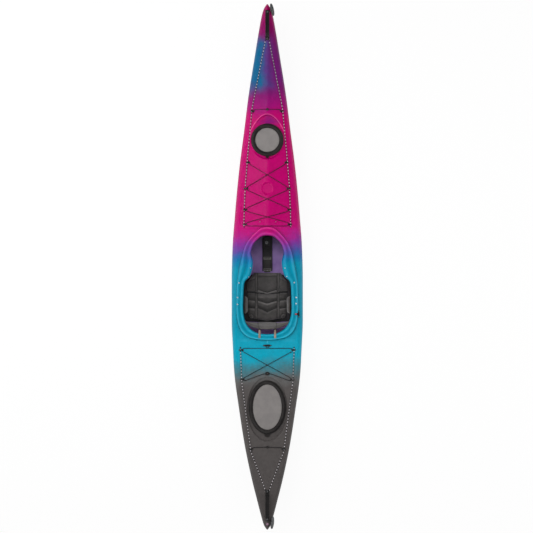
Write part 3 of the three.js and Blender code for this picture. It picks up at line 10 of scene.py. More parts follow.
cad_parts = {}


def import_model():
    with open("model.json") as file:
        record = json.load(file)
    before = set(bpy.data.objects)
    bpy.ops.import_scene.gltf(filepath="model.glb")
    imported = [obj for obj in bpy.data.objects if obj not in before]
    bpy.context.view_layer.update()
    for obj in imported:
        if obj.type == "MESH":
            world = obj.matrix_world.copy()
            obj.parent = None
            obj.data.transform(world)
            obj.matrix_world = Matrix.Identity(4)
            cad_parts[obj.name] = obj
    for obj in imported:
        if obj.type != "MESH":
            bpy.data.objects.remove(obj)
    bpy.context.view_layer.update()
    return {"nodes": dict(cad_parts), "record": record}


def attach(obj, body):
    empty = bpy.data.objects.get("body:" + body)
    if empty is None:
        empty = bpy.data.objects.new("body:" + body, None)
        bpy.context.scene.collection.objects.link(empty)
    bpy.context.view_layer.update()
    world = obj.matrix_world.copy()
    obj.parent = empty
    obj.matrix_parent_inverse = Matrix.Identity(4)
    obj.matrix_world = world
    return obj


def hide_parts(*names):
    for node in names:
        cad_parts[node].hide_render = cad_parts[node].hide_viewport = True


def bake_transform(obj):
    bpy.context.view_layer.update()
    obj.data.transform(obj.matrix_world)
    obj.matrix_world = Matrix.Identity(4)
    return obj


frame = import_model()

# The sea kayak's looks. Metres, bow to +Y, starboard to +X, up +Z, keel flat on z = 0.

nodes = frame["nodes"]

# Hull sizes, as in the part's source
HALF_LENGTH = 2.210
BEAM = 0.600
HEIGHT = 0.396
WALL = 0.006

# Along the half length, half beam, heights of keel, gunwale, shoulder and ridge, shoulder's share, fullness
HULL_LINES = np.array([
    [-1, 0.02, 0.66, 0.755, 0.79, 0.81, 0.5, 0],
    [-0.985, 0.09, 0.56, 0.748, 0.796, 0.824, 0.52, 0],
    [-0.96, 0.148, 0.44, 0.738, 0.792, 0.822, 0.58, 0],
    [-0.9, 0.265, 0.235, 0.697, 0.763, 0.793, 0.68, 0.1],
    [-0.8, 0.45, 0.126, 0.636, 0.712, 0.732, 0.78, 0.3],
    [-0.68, 0.634, 0.071, 0.586, 0.667, 0.677, 0.84, 0.55],
    [-0.55, 0.785, 0.03, 0.545, 0.629, 0.634, 0.87, 0.8],
    [-0.4, 0.93, 0.004, 0.515, 0.606, 0.609, 0.875, 0.95],
    [-0.31, 0.967, 0, 0.505, 0.598, 0.602, 0.875, 1],
    [-0.2, 1, 0, 0.5, 0.609, 0.631, 0.87, 1],
    [-0.05, 1, 0, 0.503, 0.626, 0.737, 0.86, 1],
    [0.08, 0.975, 0, 0.515, 0.646, 0.813, 0.85, 1],
    [0.19, 0.915, 0, 0.53, 0.662, 0.838, 0.84, 1],
    [0.3, 0.845, 0, 0.543, 0.667, 0.826, 0.82, 0.95],
    [0.4, 0.765, 0.004, 0.561, 0.677, 0.812, 0.8, 0.85],
    [0.52, 0.65, 0.028, 0.593, 0.699, 0.813, 0.8, 0.7],
    [0.65, 0.53, 0.068, 0.639, 0.735, 0.836, 0.8, 0.5],
    [0.8, 0.355, 0.152, 0.712, 0.803, 0.884, 0.76, 0.25],
    [0.9, 0.235, 0.265, 0.788, 0.871, 0.934, 0.7, 0.1],
    [0.96, 0.15, 0.45, 0.845, 0.918, 0.966, 0.6, 0],
    [0.985, 0.09, 0.6, 0.885, 0.945, 0.985, 0.54, 0],
    [1, 0.02, 0.74, 0.91, 0.965, 0.993, 0.5, 0],
])
FULL_BOTTOM = [(0, 0), (0.32, 0), (0.58, 0.05), (0.78, 0.2), (0.9, 0.4), (0.97, 0.68), (1, 1)]
VEE_BOTTOM = [(0, 0), (0.1, 0), (0.3, 0.17), (0.52, 0.38), (0.72, 0.6), (0.88, 0.82), (1, 1)]
BEVEL = (0.42, 0.6)

OPENING_HALF_WIDTH = 0.203
OPENING_HALF_LENGTH = 0.415
OPENING_CENTRE = -0.151
RIM_THICKNESS = 0.007
RISER_INSET = 0.017

RIM_EDGES = np.array([
    [0, 1, 0, 1.188],
    [0.222, 0.986, 0.286, 1.159],
    [0.374, 0.935, 0.532, 1.058],
    [0.542, 0.851, 0.719, 0.957],
    [0.621, 0.764, 0.867, 0.858],
    [0.67, 0.665, 0.98, 0.737],
    [0.655, 0.6, 1.054, 0.617],
    [0.586, 0.504, 1.113, 0.504],
    [0.591, 0.381, 1.167, 0.381],
    [0.64, 0.267, 1.207, 0.255],
    [0.729, 0.161, 1.236, 0.135],
    [0.906, 0.08, 1.261, 0.051],
    [0.966, -0.022, 1.276, -0.046],
    [0.99, -0.263, 1.291, -0.263],
    [1, -0.48, 1.296, -0.48],
    [0.966, -0.636, 1.276, -0.648],
    [0.877, -0.778, 1.212, -0.817],
    [0.724, -0.882, 1.069, -0.957],
    [0.493, -0.959, 0.813, -1.063],
    [0.246, -0.99, 0.419, -1.111],
    [0, -1, 0, -1.125],
])
RIM_HEIGHTS = np.array([
    [-1.13, 0.657], [-0.72, 0.662], [-0.26, 0.674], [0.12, 0.7],
    [0.5, 0.735], [0.737, 0.77], [0.957, 0.823], [1.19, 0.9],
])
RIM_PROFILE = [
    (0, 0.16), (0.02, 0.08), (0.07, 0.02), (0.15, 0), (0.25, 0.005), (0.36, 0.06), (0.47, 0.09), (0.58, 0.06),
    (0.7, 0.015), (0.8, 0.03), (0.9, 0.1), (0.97, 0.2), (1, 0.3),
]
# The rim's painted light across its lip, from its outer edge to its inner edge: painted highlights on the
# ridges, painted shade in the valleys and at the edges
RIM_PAINTED_LIGHT = [
    (0, -1), (0.02, -0.8), (0.07, 0.1), (0.15, 0.4), (0.25, 0.15), (0.36, -0.15), (0.47, -0.4), (0.58, -0.15),
    (0.7, 0.2), (0.8, 0.25), (0.9, 0), (0.97, -0.5), (1, -0.9),
]

FRONT_HATCH = {"y": 1.070, "a": 0.138, "b": 0.138, "panel": 0.037, "floor": HEIGHT * 0.732}
REAR_HATCH = {"y": -1.181, "a": 0.157, "b": 0.226, "panel": 0.034, "floor": HEIGHT * 0.591}
REAR_RECESS = {"y": -1.197, "a": 0.169, "b": 0.269}
COMPASS = {"y": 0.660, "r": 0.049, "depth": 0.016}
NECK_HEIGHT = 0.014
HANDLE_BOLTS = [1.922, 2.145, -2.125, -1.890]
PLUG_Y = -2.165
ARCH_MARGIN, ARCH_REACH, ARCH_SHOULDER, ARCH_REAR_MARGIN = 0.004, 0.2115, 0.147, 0.018
LINE_RADIUS, BUNGEE_RADIUS, TOGGLE_CORD_RADIUS = 0.003, 0.0025, 0.0024
BOSS_HEIGHT = 0.003
HOLLOW_END = HALF_LENGTH * 0.94

# The photograph's scale and the pixel at the origin
PHOTO_SCALE = 0.00842
PHOTO_MIDDLE = (267.3, 267)
PHOTO_WIDTH = 533

BLACK, WHITE = (0, 0, 0, 1), (1, 1, 1, 1)


# Small tools

def smooth_curve(knots, values):
    knots = np.asarray(knots, float)
    values = np.asarray(values, float)
    slopes = np.diff(values) / np.diff(knots)
    tangents = np.empty_like(values)
    tangents[0], tangents[-1] = slopes[0], slopes[-1]
    before, after = slopes[:-1], slopes[1:]
    total = before + after
    safe = np.where(np.abs(total) < 1e-12, 1, total)
    tangents[1:-1] = np.where(before * after <= 0, 0, 2 * before * after / safe)

    def at(where):
        where = np.asarray(where, float)
        k = np.clip(np.searchsorted(knots, where, side="right") - 1, 0, len(knots) - 2)
        span = knots[k + 1] - knots[k]
        t = np.clip((where - knots[k]) / span, 0, 1)
        rise = (3 - 2 * t) * t * t
        lean = (t * (1 - t) ** 2 * tangents[k] - t * t * (1 - t) * tangents[k + 1]) * span
        return values[k] + (values[k + 1] - values[k]) * rise + lean

    return at


def smooth_step(low, high, value):
    t = np.clip((value - low) / (high - low), 0, 1)
    return t * t * (3 - 2 * t)


def spline(points, count, closed=False):
    """Points along a Catmull-Rom spline through the given points."""
    points = np.asarray(points, float)
    if closed:
        padded = np.vstack([points[-1:], points, points[:2]])
    else:
        padded = np.vstack([2 * points[0] - points[1], points, 2 * points[-1] - points[-2]])
    spans = len(padded) - 3
    at = np.linspace(0, spans, count, endpoint=not closed)
    k = np.minimum(at.astype(int), spans - 1)
    t = (at - k)[:, None]
    a, b, c, d = padded[k], padded[k + 1], padded[k + 2], padded[k + 3]
    square, cube = 2 * a - 5 * b + 4 * c - d, 3 * b - a - 3 * c + d
    return 0.5 * (2 * b + (c - a) * t + square * t ** 2 + cube * t ** 3)


def outline_distance(x, y, outline):
    """Distance to a closed outline, positive inside it."""
    points = np.stack([np.ravel(x), np.ravel(y)], axis=1)
    best = np.full(len(points), 1e9)
    inside = np.zeros(len(points), bool)
    for a, b in zip(outline, np.roll(outline, -1, axis=0)):
        edge = b - a
        offset = points - a
        share = np.clip(offset @ edge / max(edge @ edge, 1e-12), 0, 1)
        best = np.minimum(best, np.linalg.norm(offset - share[:, None] * edge, axis=1))
        crosses = (a[1] > points[:, 1]) != (b[1] > points[:, 1])
        rise = edge[1] if abs(edge[1]) > 1e-12 else 1e-12
        inside ^= crosses & (points[:, 0] < a[0] + (points[:, 1] - a[1]) / rise * edge[0])
    return np.where(inside, best, -best).reshape(np.shape(x))


def turns(count):
    """Angles all the way round, without the last."""
    return np.linspace(0, 2 * np.pi, count, endpoint=False)


def oval(a, b, y, steps=72):
    return np.stack([a * np.cos(turns(steps)), y + b * np.sin(turns(steps))], axis=1)


def squared(t, u_power, v_power):
    """A point of a circle pressed towards a square, the more the smaller the powers."""
    u, v = math.cos(t), math.sin(t)
    return math.copysign(abs(u) ** u_power, u), math.copysign(abs(v) ** v_power, v)


def mesh_of(name, points, faces, joined=False, triangles=False):
    mesh = bpy.data.meshes.new(name)
    mesh.from_pydata([tuple(p) for p in points], [], [tuple(int(i) for i in f) for f in faces])
    work = bmesh.new()
    work.from_mesh(mesh)
    if joined:
        bmesh.ops.remove_doubles(work, verts=work.verts, dist=1e-6)
    bmesh.ops.recalc_face_normals(work, faces=work.faces)
    if triangles:
        bmesh.ops.triangulate(work, faces=work.faces)
    work.to_mesh(mesh)
    work.free()
    return mesh


def shown(name, mesh):
    piece = bpy.data.objects.new(name, mesh)
    bpy.context.scene.collection.objects.link(piece)
    return piece


def smoothed(piece, sharp):
    piece.data.shade_smooth()
    piece.data.set_sharp_from_angle(angle=math.radians(sharp))


def finish_piece(piece, body, replaces):
    if body:
        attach(piece, body)
    if replaces:
        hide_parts(*replaces)
    return piece


def made(name, points, faces, body, slot, material, sharp=35, replaces=()):
    """A mesh piece that rides on a body."""
    piece = shown(name, mesh_of(name, points, faces, joined=True))
    smoothed(piece, sharp)
    piece.data.materials.append(material)
    return finish_piece(piece, body, replaces)


def applied(piece):
    """Works the piece's modifiers into its mesh."""
    depsgraph = bpy.context.evaluated_depsgraph_get()
    mesh = bpy.data.meshes.new_from_object(piece.evaluated_get(depsgraph))
    piece.modifiers.clear()
    old, piece.data = piece.data, mesh
    bpy.data.meshes.remove(old)


def block(name, points, faces, material):
    piece = shown(name, mesh_of(name, points, faces, triangles=True))
    piece.data.materials.append(material)
    return piece


def combine(target, part, operation="DIFFERENCE"):
    tool = block("tool", *part, target.data.materials[0])
    modifier = target.modifiers.new("cut", "BOOLEAN")
    modifier.operation = operation
    modifier.solver = "MANIFOLD"
    modifier.object = tool
    applied(target)
    bpy.data.objects.remove(tool)


def coords(mesh):
    flat = np.empty(len(mesh.vertices) * 3)
    mesh.vertices.foreach_get("co", flat)
    return flat.reshape(-1, 3)


# Keeps each point's painted light on the mesh: above zero a painted highlight, below zero painted shade.
def store_painted_light(piece, painted_light):
    layer = piece.data.attributes.new("painted_light", "FLOAT", "POINT")
    layer.data.foreach_set("value", np.clip(painted_light, -1, 1).astype(np.float32))


def loft(rings, closed=False):
    """Points and faces of a skin over rings of equal count, capped unless it closes on itself."""
    count = len(rings[0])
    points = [tuple(p) for ring in rings for p in ring]
    faces = []
    spans = len(rings) if closed else len(rings) - 1
    for r in range(spans):
        here, there = r * count, ((r + 1) % len(rings)) * count
        for k in range(count):
            after = (k + 1) % count
            faces.append((here + k, here + after, there + after, there + k))
    if not closed:
        for start, turn in ((0, -1), ((len(rings) - 1) * count, 1)):
            middle = tuple(np.mean(points[start:start + count], axis=0))
            points.append(middle)
            for k in range(count):
                ring = (start + k, start + (k + 1) % count, len(points) - 1)
                faces.append(ring if turn > 0 else ring[::-1])
    return points, faces


def merged(parts):
    """Several (points, faces) as one."""
    points, faces = [], []
    for some_points, some_faces in parts:
        start = len(points)
        points.extend(some_points)
        faces.extend([tuple(i + start for i in face) for face in some_faces])
    return points, faces


def stacked(rows, y, steps=64):
    """A stack of ovals, each row half width, half length and height."""
    return loft([[(px, py, z) for px, py in oval(a, b, y, steps)] for a, b, z in rows])


def frames_along(path):
    """Tangent, side and up vectors along a path, turned as little as possible."""
    last = len(path) - 1
    tangents = []
    for k in range(len(path)):
        ahead = path[min(k + 1, last)] - path[max(k - 1, 0)]
        tangents.append(ahead.normalized() if ahead.length > 1e-9 else Vector((0, 1, 0)))
    side = tangents[0].cross(Vector((0, 0, 1)))
    side = side.normalized() if side.length > 1e-4 else Vector((1, 0, 0))
    out = []
    for tangent in tangents:
        side = (side - tangent * side.dot(tangent)).normalized()
        out.append((tangent, side, side.cross(tangent)))
    return out


def tube(path, radius, sides=12):
    """A round cord along a path, with round ends."""
    path = [Vector(p) for p in path]
    axes = frames_along(path)

    def ring(centre, axis, scale):
        _, side, up = axis
        reach = radius * scale
        return [centre + side * (math.cos(t) * reach) + up * (math.sin(t) * reach) for t in turns(sides)]

    tips = ((0.35, 0.54 * radius), (0.8, 0.3 * radius))
    rings = [ring(path[0] - axes[0][0] * back, axes[0], scale) for scale, back in tips]
    rings.extend(ring(p, axis, 1) for p, axis in zip(path, axes))
    rings.extend(ring(path[-1] + axes[-1][0] * back, axes[-1], scale) for scale, back in tips[::-1])
    return loft(rings)


def cord_piece(name, path, radius, material, body="hull", replaces=()):
    """A cord with its length in the first UV channel, for patterns that run along it."""
    piece = made(name, *tube(path, radius), body, "cord", material, 180, replaces)
    spots = np.asarray(path, float)
    reach = np.concatenate([[0], np.cumsum(np.linalg.norm(np.diff(spots, axis=0), axis=1))])
    nearest = [np.argmin(((spots - place) ** 2).sum(1)) for place in coords(piece.data)]
    uv = piece.data.uv_layers.new(name="along")
    for loop in piece.data.loops:
        uv.data[loop.index].uv = (reach[nearest[loop.vertex_index]], 0.0)


def rounded_box(low, high, radius=0.0015, segments=2):
    """Points and faces of a box with rounded edges."""
    low, high = Vector(low), Vector(high)
    size = high - low
    place = Matrix.Translation((low + high) / 2) @ Matrix.Diagonal((*size, 1))
    work = bmesh.new()
    bmesh.ops.create_cube(work, size=1, matrix=place)
    reach = min(radius, min(size) * 0.45)
    bmesh.ops.bevel(work, geom=work.edges[:], offset=reach, segments=segments, affect="EDGES", profile=0.5)
    work.verts.ensure_lookup_table()
    work.verts.index_update()
    points = [tuple(v.co) for v in work.verts]
    faces = [tuple(v.index for v in f.verts) for f in work.faces]
    work.free()
    return points, faces


def lathe(profile, steps, centre=(0, 0, 0)):
    """A turned piece about its own Z axis, profile as (radius, height)."""
    x, y, z = centre
    circle = [(math.cos(t), math.sin(t)) for t in turns(steps)]
    return loft([[(x + r * u, y + r * v, z + up) for u, v in circle] for r, up in profile])


def moved(part, matrix):
    points, faces = part
    return [tuple(matrix @ Vector(p)) for p in points], faces


# Materials

def srgb(*levels):
    def line(v):
        v = v / 255
        return v / 12.92 if v <= 0.04045 else ((v + 0.055) / 1.055) ** 2.4
    return (*(line(v) for v in levels), 1.0)


class Flow:
    """A value that nodes work out, written as an ordinary sum."""

    def __init__(self, look, socket):
        self.look = look
        self.socket = socket

    def sum(self, operation, other=0.0, clamp=False):
        return self.look.node("ShaderNodeMath", {0: self, 1: other}, operation=operation, use_clamp=clamp)

    def __add__(self, other):
        return self.sum("ADD", other)

    def __sub__(self, other):
        return self.sum("SUBTRACT", other)

    def __mul__(self, other):
        return self.sum("MULTIPLY", other)

    def size(self):
        return self.sum("ABSOLUTE")

    def sine(self):
        return self.sum("SINE")

    def clamped(self):
        return self.sum("ADD", 0.0, clamp=True)


class Look:
    """A material or the world while its nodes are made."""

    def __init__(self, holder, shader="Principled BSDF"):
        holder.use_nodes = True
        self.holder = holder
        self.tree = holder.node_tree
        self.shader = self.tree.nodes[shader]
        self.place = self.node("ShaderNodeTexCoord", output="Object")
        self.x, self.y, self.z = self.parts(self.place)

    def node(self, kind, inputs=None, output=0, **settings):
        made_node = self.tree.nodes.new(kind)
        for key, value in settings.items():
            setattr(made_node, key, value)
        for key, value in (inputs or {}).items():
            self.feed(made_node.inputs[key], value)
        return Flow(self, made_node.outputs[output])

    def feed(self, entry, value):
        if isinstance(value, Flow):
            self.tree.links.new(value.socket, entry)
        else:
            entry.default_value = value

    def parts(self, vector):
        return [self.node("ShaderNodeSeparateXYZ", {"Vector": vector}, axis) for axis in "XYZ"]

    def mix(self, factor, first, second):
        return self.node("ShaderNodeMix", {0: factor, 6: first, 7: second}, 2, data_type="RGBA")

    def noise(self, scale, detail=2.0, roughness=0.5):
        inputs = {"Vector": self.place, "Scale": scale, "Detail": detail, "Roughness": roughness}
        return self.node("ShaderNodeTexNoise", inputs, "Fac")

    def ramp(self, factor, *stops):
        made_node = self.tree.nodes.new("ShaderNodeValToRGB")
        elements = made_node.color_ramp.elements
        elements.remove(elements[-1])
        elements[0].position, elements[0].color = stops[0]
        for place, colour in stops[1:]:
            elements.new(place).color = colour
        self.feed(made_node.inputs["Fac"], factor)
        return Flow(self, made_node.outputs["Color"])

    def add_painted_light(self, colour, gain, lift, dimmed):
        """Paints light onto a colour: paler where the mesh's painted light is above zero, a painted
        highlight, and darker where it is below, painted shade.
        """
        painted_light = self.node("ShaderNodeAttribute", output="Fac", attribute_name="painted_light")
        inputs = {0: colour, 1: (gain,) * 3, 2: (lift,) * 3}
        paler = self.node("ShaderNodeVectorMath", inputs, operation="MULTIPLY_ADD")
        colour = self.mix(painted_light.clamped(), colour, paler)
        return self.mix((painted_light * -dimmed).clamped(), colour, BLACK)

    def finish(self, colour, roughness, bump, strength, distance, **others):
        """Feeds the shader; the names of other inputs have _ for a space."""
        self.feed(self.shader.inputs["Base Color"], colour)
        self.feed(self.shader.inputs["Roughness"], roughness)
        for name, value in others.items():
            self.shader.inputs[name.replace("_", " ")].default_value = value
        inputs = {"Height": bump, "Strength": strength, "Distance": distance}
        self.feed(self.shader.inputs["Normal"], self.node("ShaderNodeBump", inputs, "Normal"))
        return self.holder


def new_look(name):
    return Look(bpy.data.materials.new(name))


# The hull's colours along its length, each place in metres with its red, green and blue
BLEND_REACH = 2.3
HULL_BLEND = [
    (-2.3, 72, 68, 67), (-1.02, 82, 78, 77), (-0.94, 92, 92, 92), (-0.86, 58, 116, 128), (-0.76, 0, 150, 175),
    (-0.66, 0, 150, 176), (-0.50, 0, 138, 164), (0.0, 0, 136, 164), (0.06, 16, 106, 160), (0.12, 72, 76, 152),
    (0.20, 124, 48, 144), (0.30, 180, 10, 112), (0.40, 176, 0, 98), (1.26, 176, 0, 98), (1.36, 148, 10, 108),
    (1.48, 116, 18, 98), (1.62, 104, 24, 106), (1.86, 104, 22, 98), (2.02, 132, 4, 88), (2.20, 150, 0, 82),
]


def blend_share(metres):
    return (metres + BLEND_REACH) * (0.5 / BLEND_REACH)


def hull_outside():
    look = new_look("hull_plastic")
    # A slow wander of the blend's edges, and a fine speckle inside them
    wander = look.noise(5.5, 3.0, 0.55) - 0.5
    speckle = look.noise(120.0, 2.0, 0.7) - 0.5
    along = look.y + (wander * 0.16 + speckle * 0.13) + look.x * -0.03
    colour = look.ramp(blend_share(along), *[(blend_share(y), srgb(*rgb)) for y, *rgb in HULL_BLEND])
    # Teal on the port side of the bow, and purple beside it
    teal_x = look.x + wander * 0.16 + speckle * 0.05
    reach = (((look.y - 1.70).size() + wander * 0.25) * -7.0 + 1.9).clamped()
    beside = (teal_x * -11.0 + 0.85).clamped() * reach
    colour = look.mix(beside * 0.8, colour, srgb(64, 56, 122))
    across = (teal_x * -17.0 - 0.1).clamped()
    colour = look.mix(across * reach, colour, srgb(0, 90, 132))
    # A purple cloud in the arch ahead of the front hatch
    from_arch = (look.y - 1.225).size() * 1.5 + (look.x.size() + wander * 0.3)
    cloud = (from_arch * -11.0 + 1.25).clamped()
    colour = look.mix(cloud * 0.75, colour, srgb(106, 18, 108))
    # Faint mottle of the moulding powder
    mottle = look.ramp(look.noise(34.0, 4.0, 0.6), (0.42, BLACK), (0.62, WHITE))
    colour = look.mix(mottle, colour, look.mix(0.1, colour, BLACK))
    # Painted highlights along raised edges, and painted shade along the hollows
    colour = look.add_painted_light(colour, 1.5, 0.06, 0.62)
    worn = look.ramp(look.noise(7.0, 4.0), (0.3, (0.14, 0.14, 0.14, 1)), (0.7, (0.24, 0.24, 0.24, 1)))
    return look.finish(colour, worn, look.noise(210.0, 3.0), 0.06, 0.001, Specular_IOR_Level=0.16)


def hull_inside_look():
    look = new_look("hull_inside")
    colour = look.ramp(look.noise(9.0, 3.0), (0.3, srgb(118, 88, 152)), (0.7, srgb(146, 116, 180)))
    # Painted shade: darker towards the bow, where the deck shades the hull's inside
    ahead = (look.y * 5.0 - 0.4).clamped()
    colour = look.mix(ahead * 0.62, colour, srgb(30, 14, 38))
    return look.finish(colour, 0.5, look.noise(260.0), 0.12, 0.001)


def plain(name, dark, light, roughness, grain=180, strength=0.15, distance=0.0006, metallic=0.0):
    """A finish with a slow change of colour and a fine moulded grain."""
    look = new_look(name)
    colour = look.ramp(look.noise(14.0, 4.0, 0.6), (0.35, srgb(*dark)), (0.65, srgb(*light)))
    return look.finish(colour, roughness, look.noise(grain), strength, distance, Metallic=metallic)


def woven(name, dark, light, thread=0.0016, sheen=0.25):
    """A woven cloth whose threads run along X and Y."""
    look = new_look(name)
    pitch = 2 * math.pi / thread
    weave = (look.x * pitch).sine() * ((look.y + look.z) * pitch).sine() * 0.5 + 0.5
    colour = look.ramp(look.noise(16.0, 4.0, 0.6), (0.35, srgb(*dark)), (0.65, srgb(*light)))
    colour = look.mix(weave * 0.6, colour, look.mix(0.35, colour, BLACK))
    # Painted highlights on the cloth's ridges and painted shade in its seams, from the mesh's painted light
    colour = look.add_painted_light(colour, 2.4, 0.03, 0.9)
    return look.finish(colour, 0.9, weave, 0.5, 0.0004, Sheen_Weight=sheen, Sheen_Roughness=0.6)


def braided(name, dark, light, roughness, grain, twist, fleck=None):
    """A braid whose pattern runs along the cord, with a pale tracer at every fleck's length."""
    look = new_look(name)
    reach = look.parts(look.node("ShaderNodeUVMap", uv_map="along"))[0]
    colour = look.ramp(look.noise(grain), (0.3, srgb(*dark)), (0.7, srgb(*light)))
    if fleck:
        wave = (reach * (2 * math.pi / fleck)).sine() * 0.5 + 0.5
        tracer = look.ramp(wave, (0.62, BLACK), (0.76, WHITE))
        colour = look.mix(tracer, colour, srgb(190, 184, 188))
    return look.finish(colour, roughness, (reach * (2 * math.pi / twist)).sine(), 0.35, 0.0004)


hull_skin = hull_outside()
hull_inside = hull_inside_look()
rubber = plain("hatch_rubber", (25, 22, 22), (39, 36, 35), 0.62, 240, 0.2)
panel_grey = plain("hatch_panel", (114, 110, 109), (124, 120, 118), 0.55, 420, 0.35)
nylon = plain("nylon", (20, 20, 21), (34, 34, 35), 0.5, 300)
black_plastic = plain("black_plastic", (30, 29, 31), (46, 44, 47), 0.55, 200)
foam = plain("foam", (48, 46, 48), (64, 61, 63), 0.95, 500, 0.4, 0.001)
seat_cloth = woven("seat_cloth", (62, 60, 59), (78, 75, 74))
pale_cloth = woven("pale_cloth", (67, 64, 63), (80, 77, 75))
tan_web = woven("tan_webbing", (132, 112, 98), (160, 138, 122), 0.003)
black_web = woven("black_webbing", (12, 11, 11), (24, 22, 22), 0.003, 0.03)
grip_rubber = plain("toggle_grip", (62, 64, 66), (96, 97, 98), 0.6, 320, 0.3)
red_plastic = plain("red_knob", (150, 44, 52), (182, 66, 70), 0.55)
steel = plain("steel", (168, 170, 173), (206, 207, 208), 0.3, 900, 0.1, metallic=0.9)
pin_pink = plain("screw_steel", (205, 196, 198), (232, 226, 226), 0.35, 900, 0.1, metallic=0.6)
dull_steel = plain("dull_steel", (84, 76, 70), (116, 106, 98), 0.45, 900, 0.1, metallic=0.5)
line_cord = braided("perimeter_line", (14, 13, 14), (34, 32, 32), 0.8, 900, 0.0024, fleck=0.026)
bungee_cord = braided("bungee", (16, 15, 17), (34, 31, 34), 0.85, 700, 0.002)
bungee_plain = plain("cord_end", (16, 15, 17), (34, 31, 34), 0.85, 800)
thread_grey = plain("grey_thread", (58, 56, 55), (78, 75, 73), 0.8, 900)
thread_tan = plain("tan_thread", (176, 156, 140), (196, 178, 160), 0.8, 900)
plug_grey = plain("plug_rubber", (150, 120, 140), (176, 146, 162), 0.6, 300)
web_grey = woven("strap_webbing", (44, 42, 41), (58, 56, 54), 0.003)
buckle_grey = plain("buckle_plastic", (96, 94, 92), (118, 116, 113), 0.5, 260)

CAD_LOOKS = {
    "bulkhead_foam": foam, "black_plastic": black_plastic, "steel": steel, "nylon": nylon,
    "red_knob": red_plastic, "rubber": rubber, "hatch_panel": panel_grey, "seat_fabric": seat_cloth,
    "pale_fabric": pale_cloth, "thigh_foam": foam, "tan_webbing": tan_web, "black_webbing": black_web,
    "toggle_grip": grip_rubber, "cord": bungee_plain, "hull_polyethylene": hull_skin,
}
for entry in frame["record"]["subparts"]:
    solid = nodes[entry["node"]]
    solid.data.materials.clear()
    solid.data.materials.append(CAD_LOOKS[entry["material_slot"]])
    smoothed(solid, 30)


# Hull

LINES = [smooth_curve(HULL_LINES[:, 0], HULL_LINES[:, k]) for k in range(1, 8)]


def section_lines(y, inset):
    beam, keel, gunwale, shoulder, ridge, share, fullness = [curve(y / HALF_LENGTH) for curve in LINES]
    half = beam * BEAM / 2 - inset
    return {
        "half": half,
        "keel": keel * HEIGHT + inset,
        "gunwale": gunwale * HEIGHT,
        "shoulder": shoulder * HEIGHT - inset,
        "ridge": ridge * HEIGHT - inset,
        "shoulder_x": half * share,
        "fullness": fullness,
    }


# The deck's crown: how far it rises from shoulder to ridge, across the hull
deck_up_curve = smooth_curve([-1, -0.66, -0.33, 0, 0.33, 0.66, 1], [0, 0.38, 0.72, 1, 0.72, 0.38, 0])


def bare_deck(x, y, inset=0.0):
    """Height of the deck inside the shoulders, before its recesses."""
    s = section_lines(y, inset)
    across = np.clip(np.abs(x) / np.maximum(s["shoulder_x"], 1e-4), 0, 1)
    return s["shoulder"] + (s["ridge"] - s["shoulder"]) * deck_up_curve(across)


def arch_outline():
    """The arch ahead of the front hatch, run round the hatch."""
    radius = FRONT_HATCH["a"] + ARCH_MARGIN
    t = np.linspace(0, 1, 20)[:, None]

    def bend(a, b, c):
        return ((1 - t) ** 2 * a + 2 * t * (1 - t) * b + t ** 2 * c)[:-1]

    foot = ARCH_REACH - ARCH_SHOULDER
    tip, left, right = np.array([[0, ARCH_REACH], [-radius, foot], [radius, foot]])
    pull = np.array([radius / 2, ARCH_REACH])
    turn = np.linspace(math.pi, 2 * math.pi, 30)
    lower = np.stack([radius * np.cos(turn), (radius + ARCH_REAR_MARGIN) * np.sin(turn)], axis=1)
    sides = [bend(tip, pull * (-1, 1), left), lower, bend(right, pull, tip)]
    return np.vstack(sides) + np.array([0, FRONT_HATCH["y"]])


def arch_bead(x, y):
    """The low bead round the front half of the arch."""
    bead = np.exp(-((outline_distance(x, y, arch_outline()) + 0.005) / 0.0042) ** 2)
    return bead * smooth_step(-0.02, 0.06, y - FRONT_HATCH["y"])


def deck_creases(x, y):
    """Two low ridges across the deck behind the rim and a short one on the middle line."""
    side = smooth_step(0.135, 0.155, np.abs(x)) * smooth_step(-0.238, -0.222, -np.abs(x))
    across = np.exp(-((y + 0.618) / 0.0042) ** 2) * side
    along = np.exp(-(x / 0.0042) ** 2) * smooth_step(-0.648, -0.640, y) * smooth_step(0.612, 0.620, -y)
    return 0.8 * across + 0.8 * along


def middle_deck(y):
    return bare_deck(np.zeros(1), np.array([y]))[0]


def relief(x, y, deck):
    """The deck with its recesses, plinth, bosses and creases."""
    z = deck.copy()
    near = np.abs(y - 1.08) < 0.26
    if near.any():
        nx, ny, floor = x[near], y[near], FRONT_HATCH["floor"]
        cut = smooth_step(-0.004, 0.006, outline_distance(nx, ny, arch_outline()))
        part = z[near] + np.minimum(0, floor - z[near]) * cut
        seat = oval(FRONT_HATCH["a"] + 0.004, FRONT_HATCH["b"] + 0.004, FRONT_HATCH["y"])
        disc = smooth_step(-0.003, 0.005, outline_distance(nx, ny, seat))
        z[near] = part + (floor - part) * disc + 0.0026 * arch_bead(nx, ny)
    near = np.abs(y - REAR_RECESS["y"]) < 0.30
    if near.any():
        nx, ny, floor = x[near], y[near], REAR_HATCH["floor"]
        recess = oval(REAR_RECESS["a"], REAR_RECESS["b"], REAR_RECESS["y"])
        cut = smooth_step(-0.006, 0.008, outline_distance(nx, ny, recess))
        z[near] = z[near] + np.minimum(0, floor - z[near]) * cut
    floor = middle_deck(COMPASS["y"]) - COMPASS["depth"]
    dish = smooth_step(-0.005, 0.007, COMPASS["r"] - np.hypot(x, y - COMPASS["y"]))
    z = z + np.minimum(0, floor - z) * dish
    for bolt in HANDLE_BOLTS:
        boss = smooth_step(-0.004, 0.003, 0.016 - np.hypot(x, y - bolt))
        z = z + np.maximum(0, middle_deck(bolt) + BOSS_HEIGHT - z) * boss
    return z + 0.0018 * deck_creases(x, y)


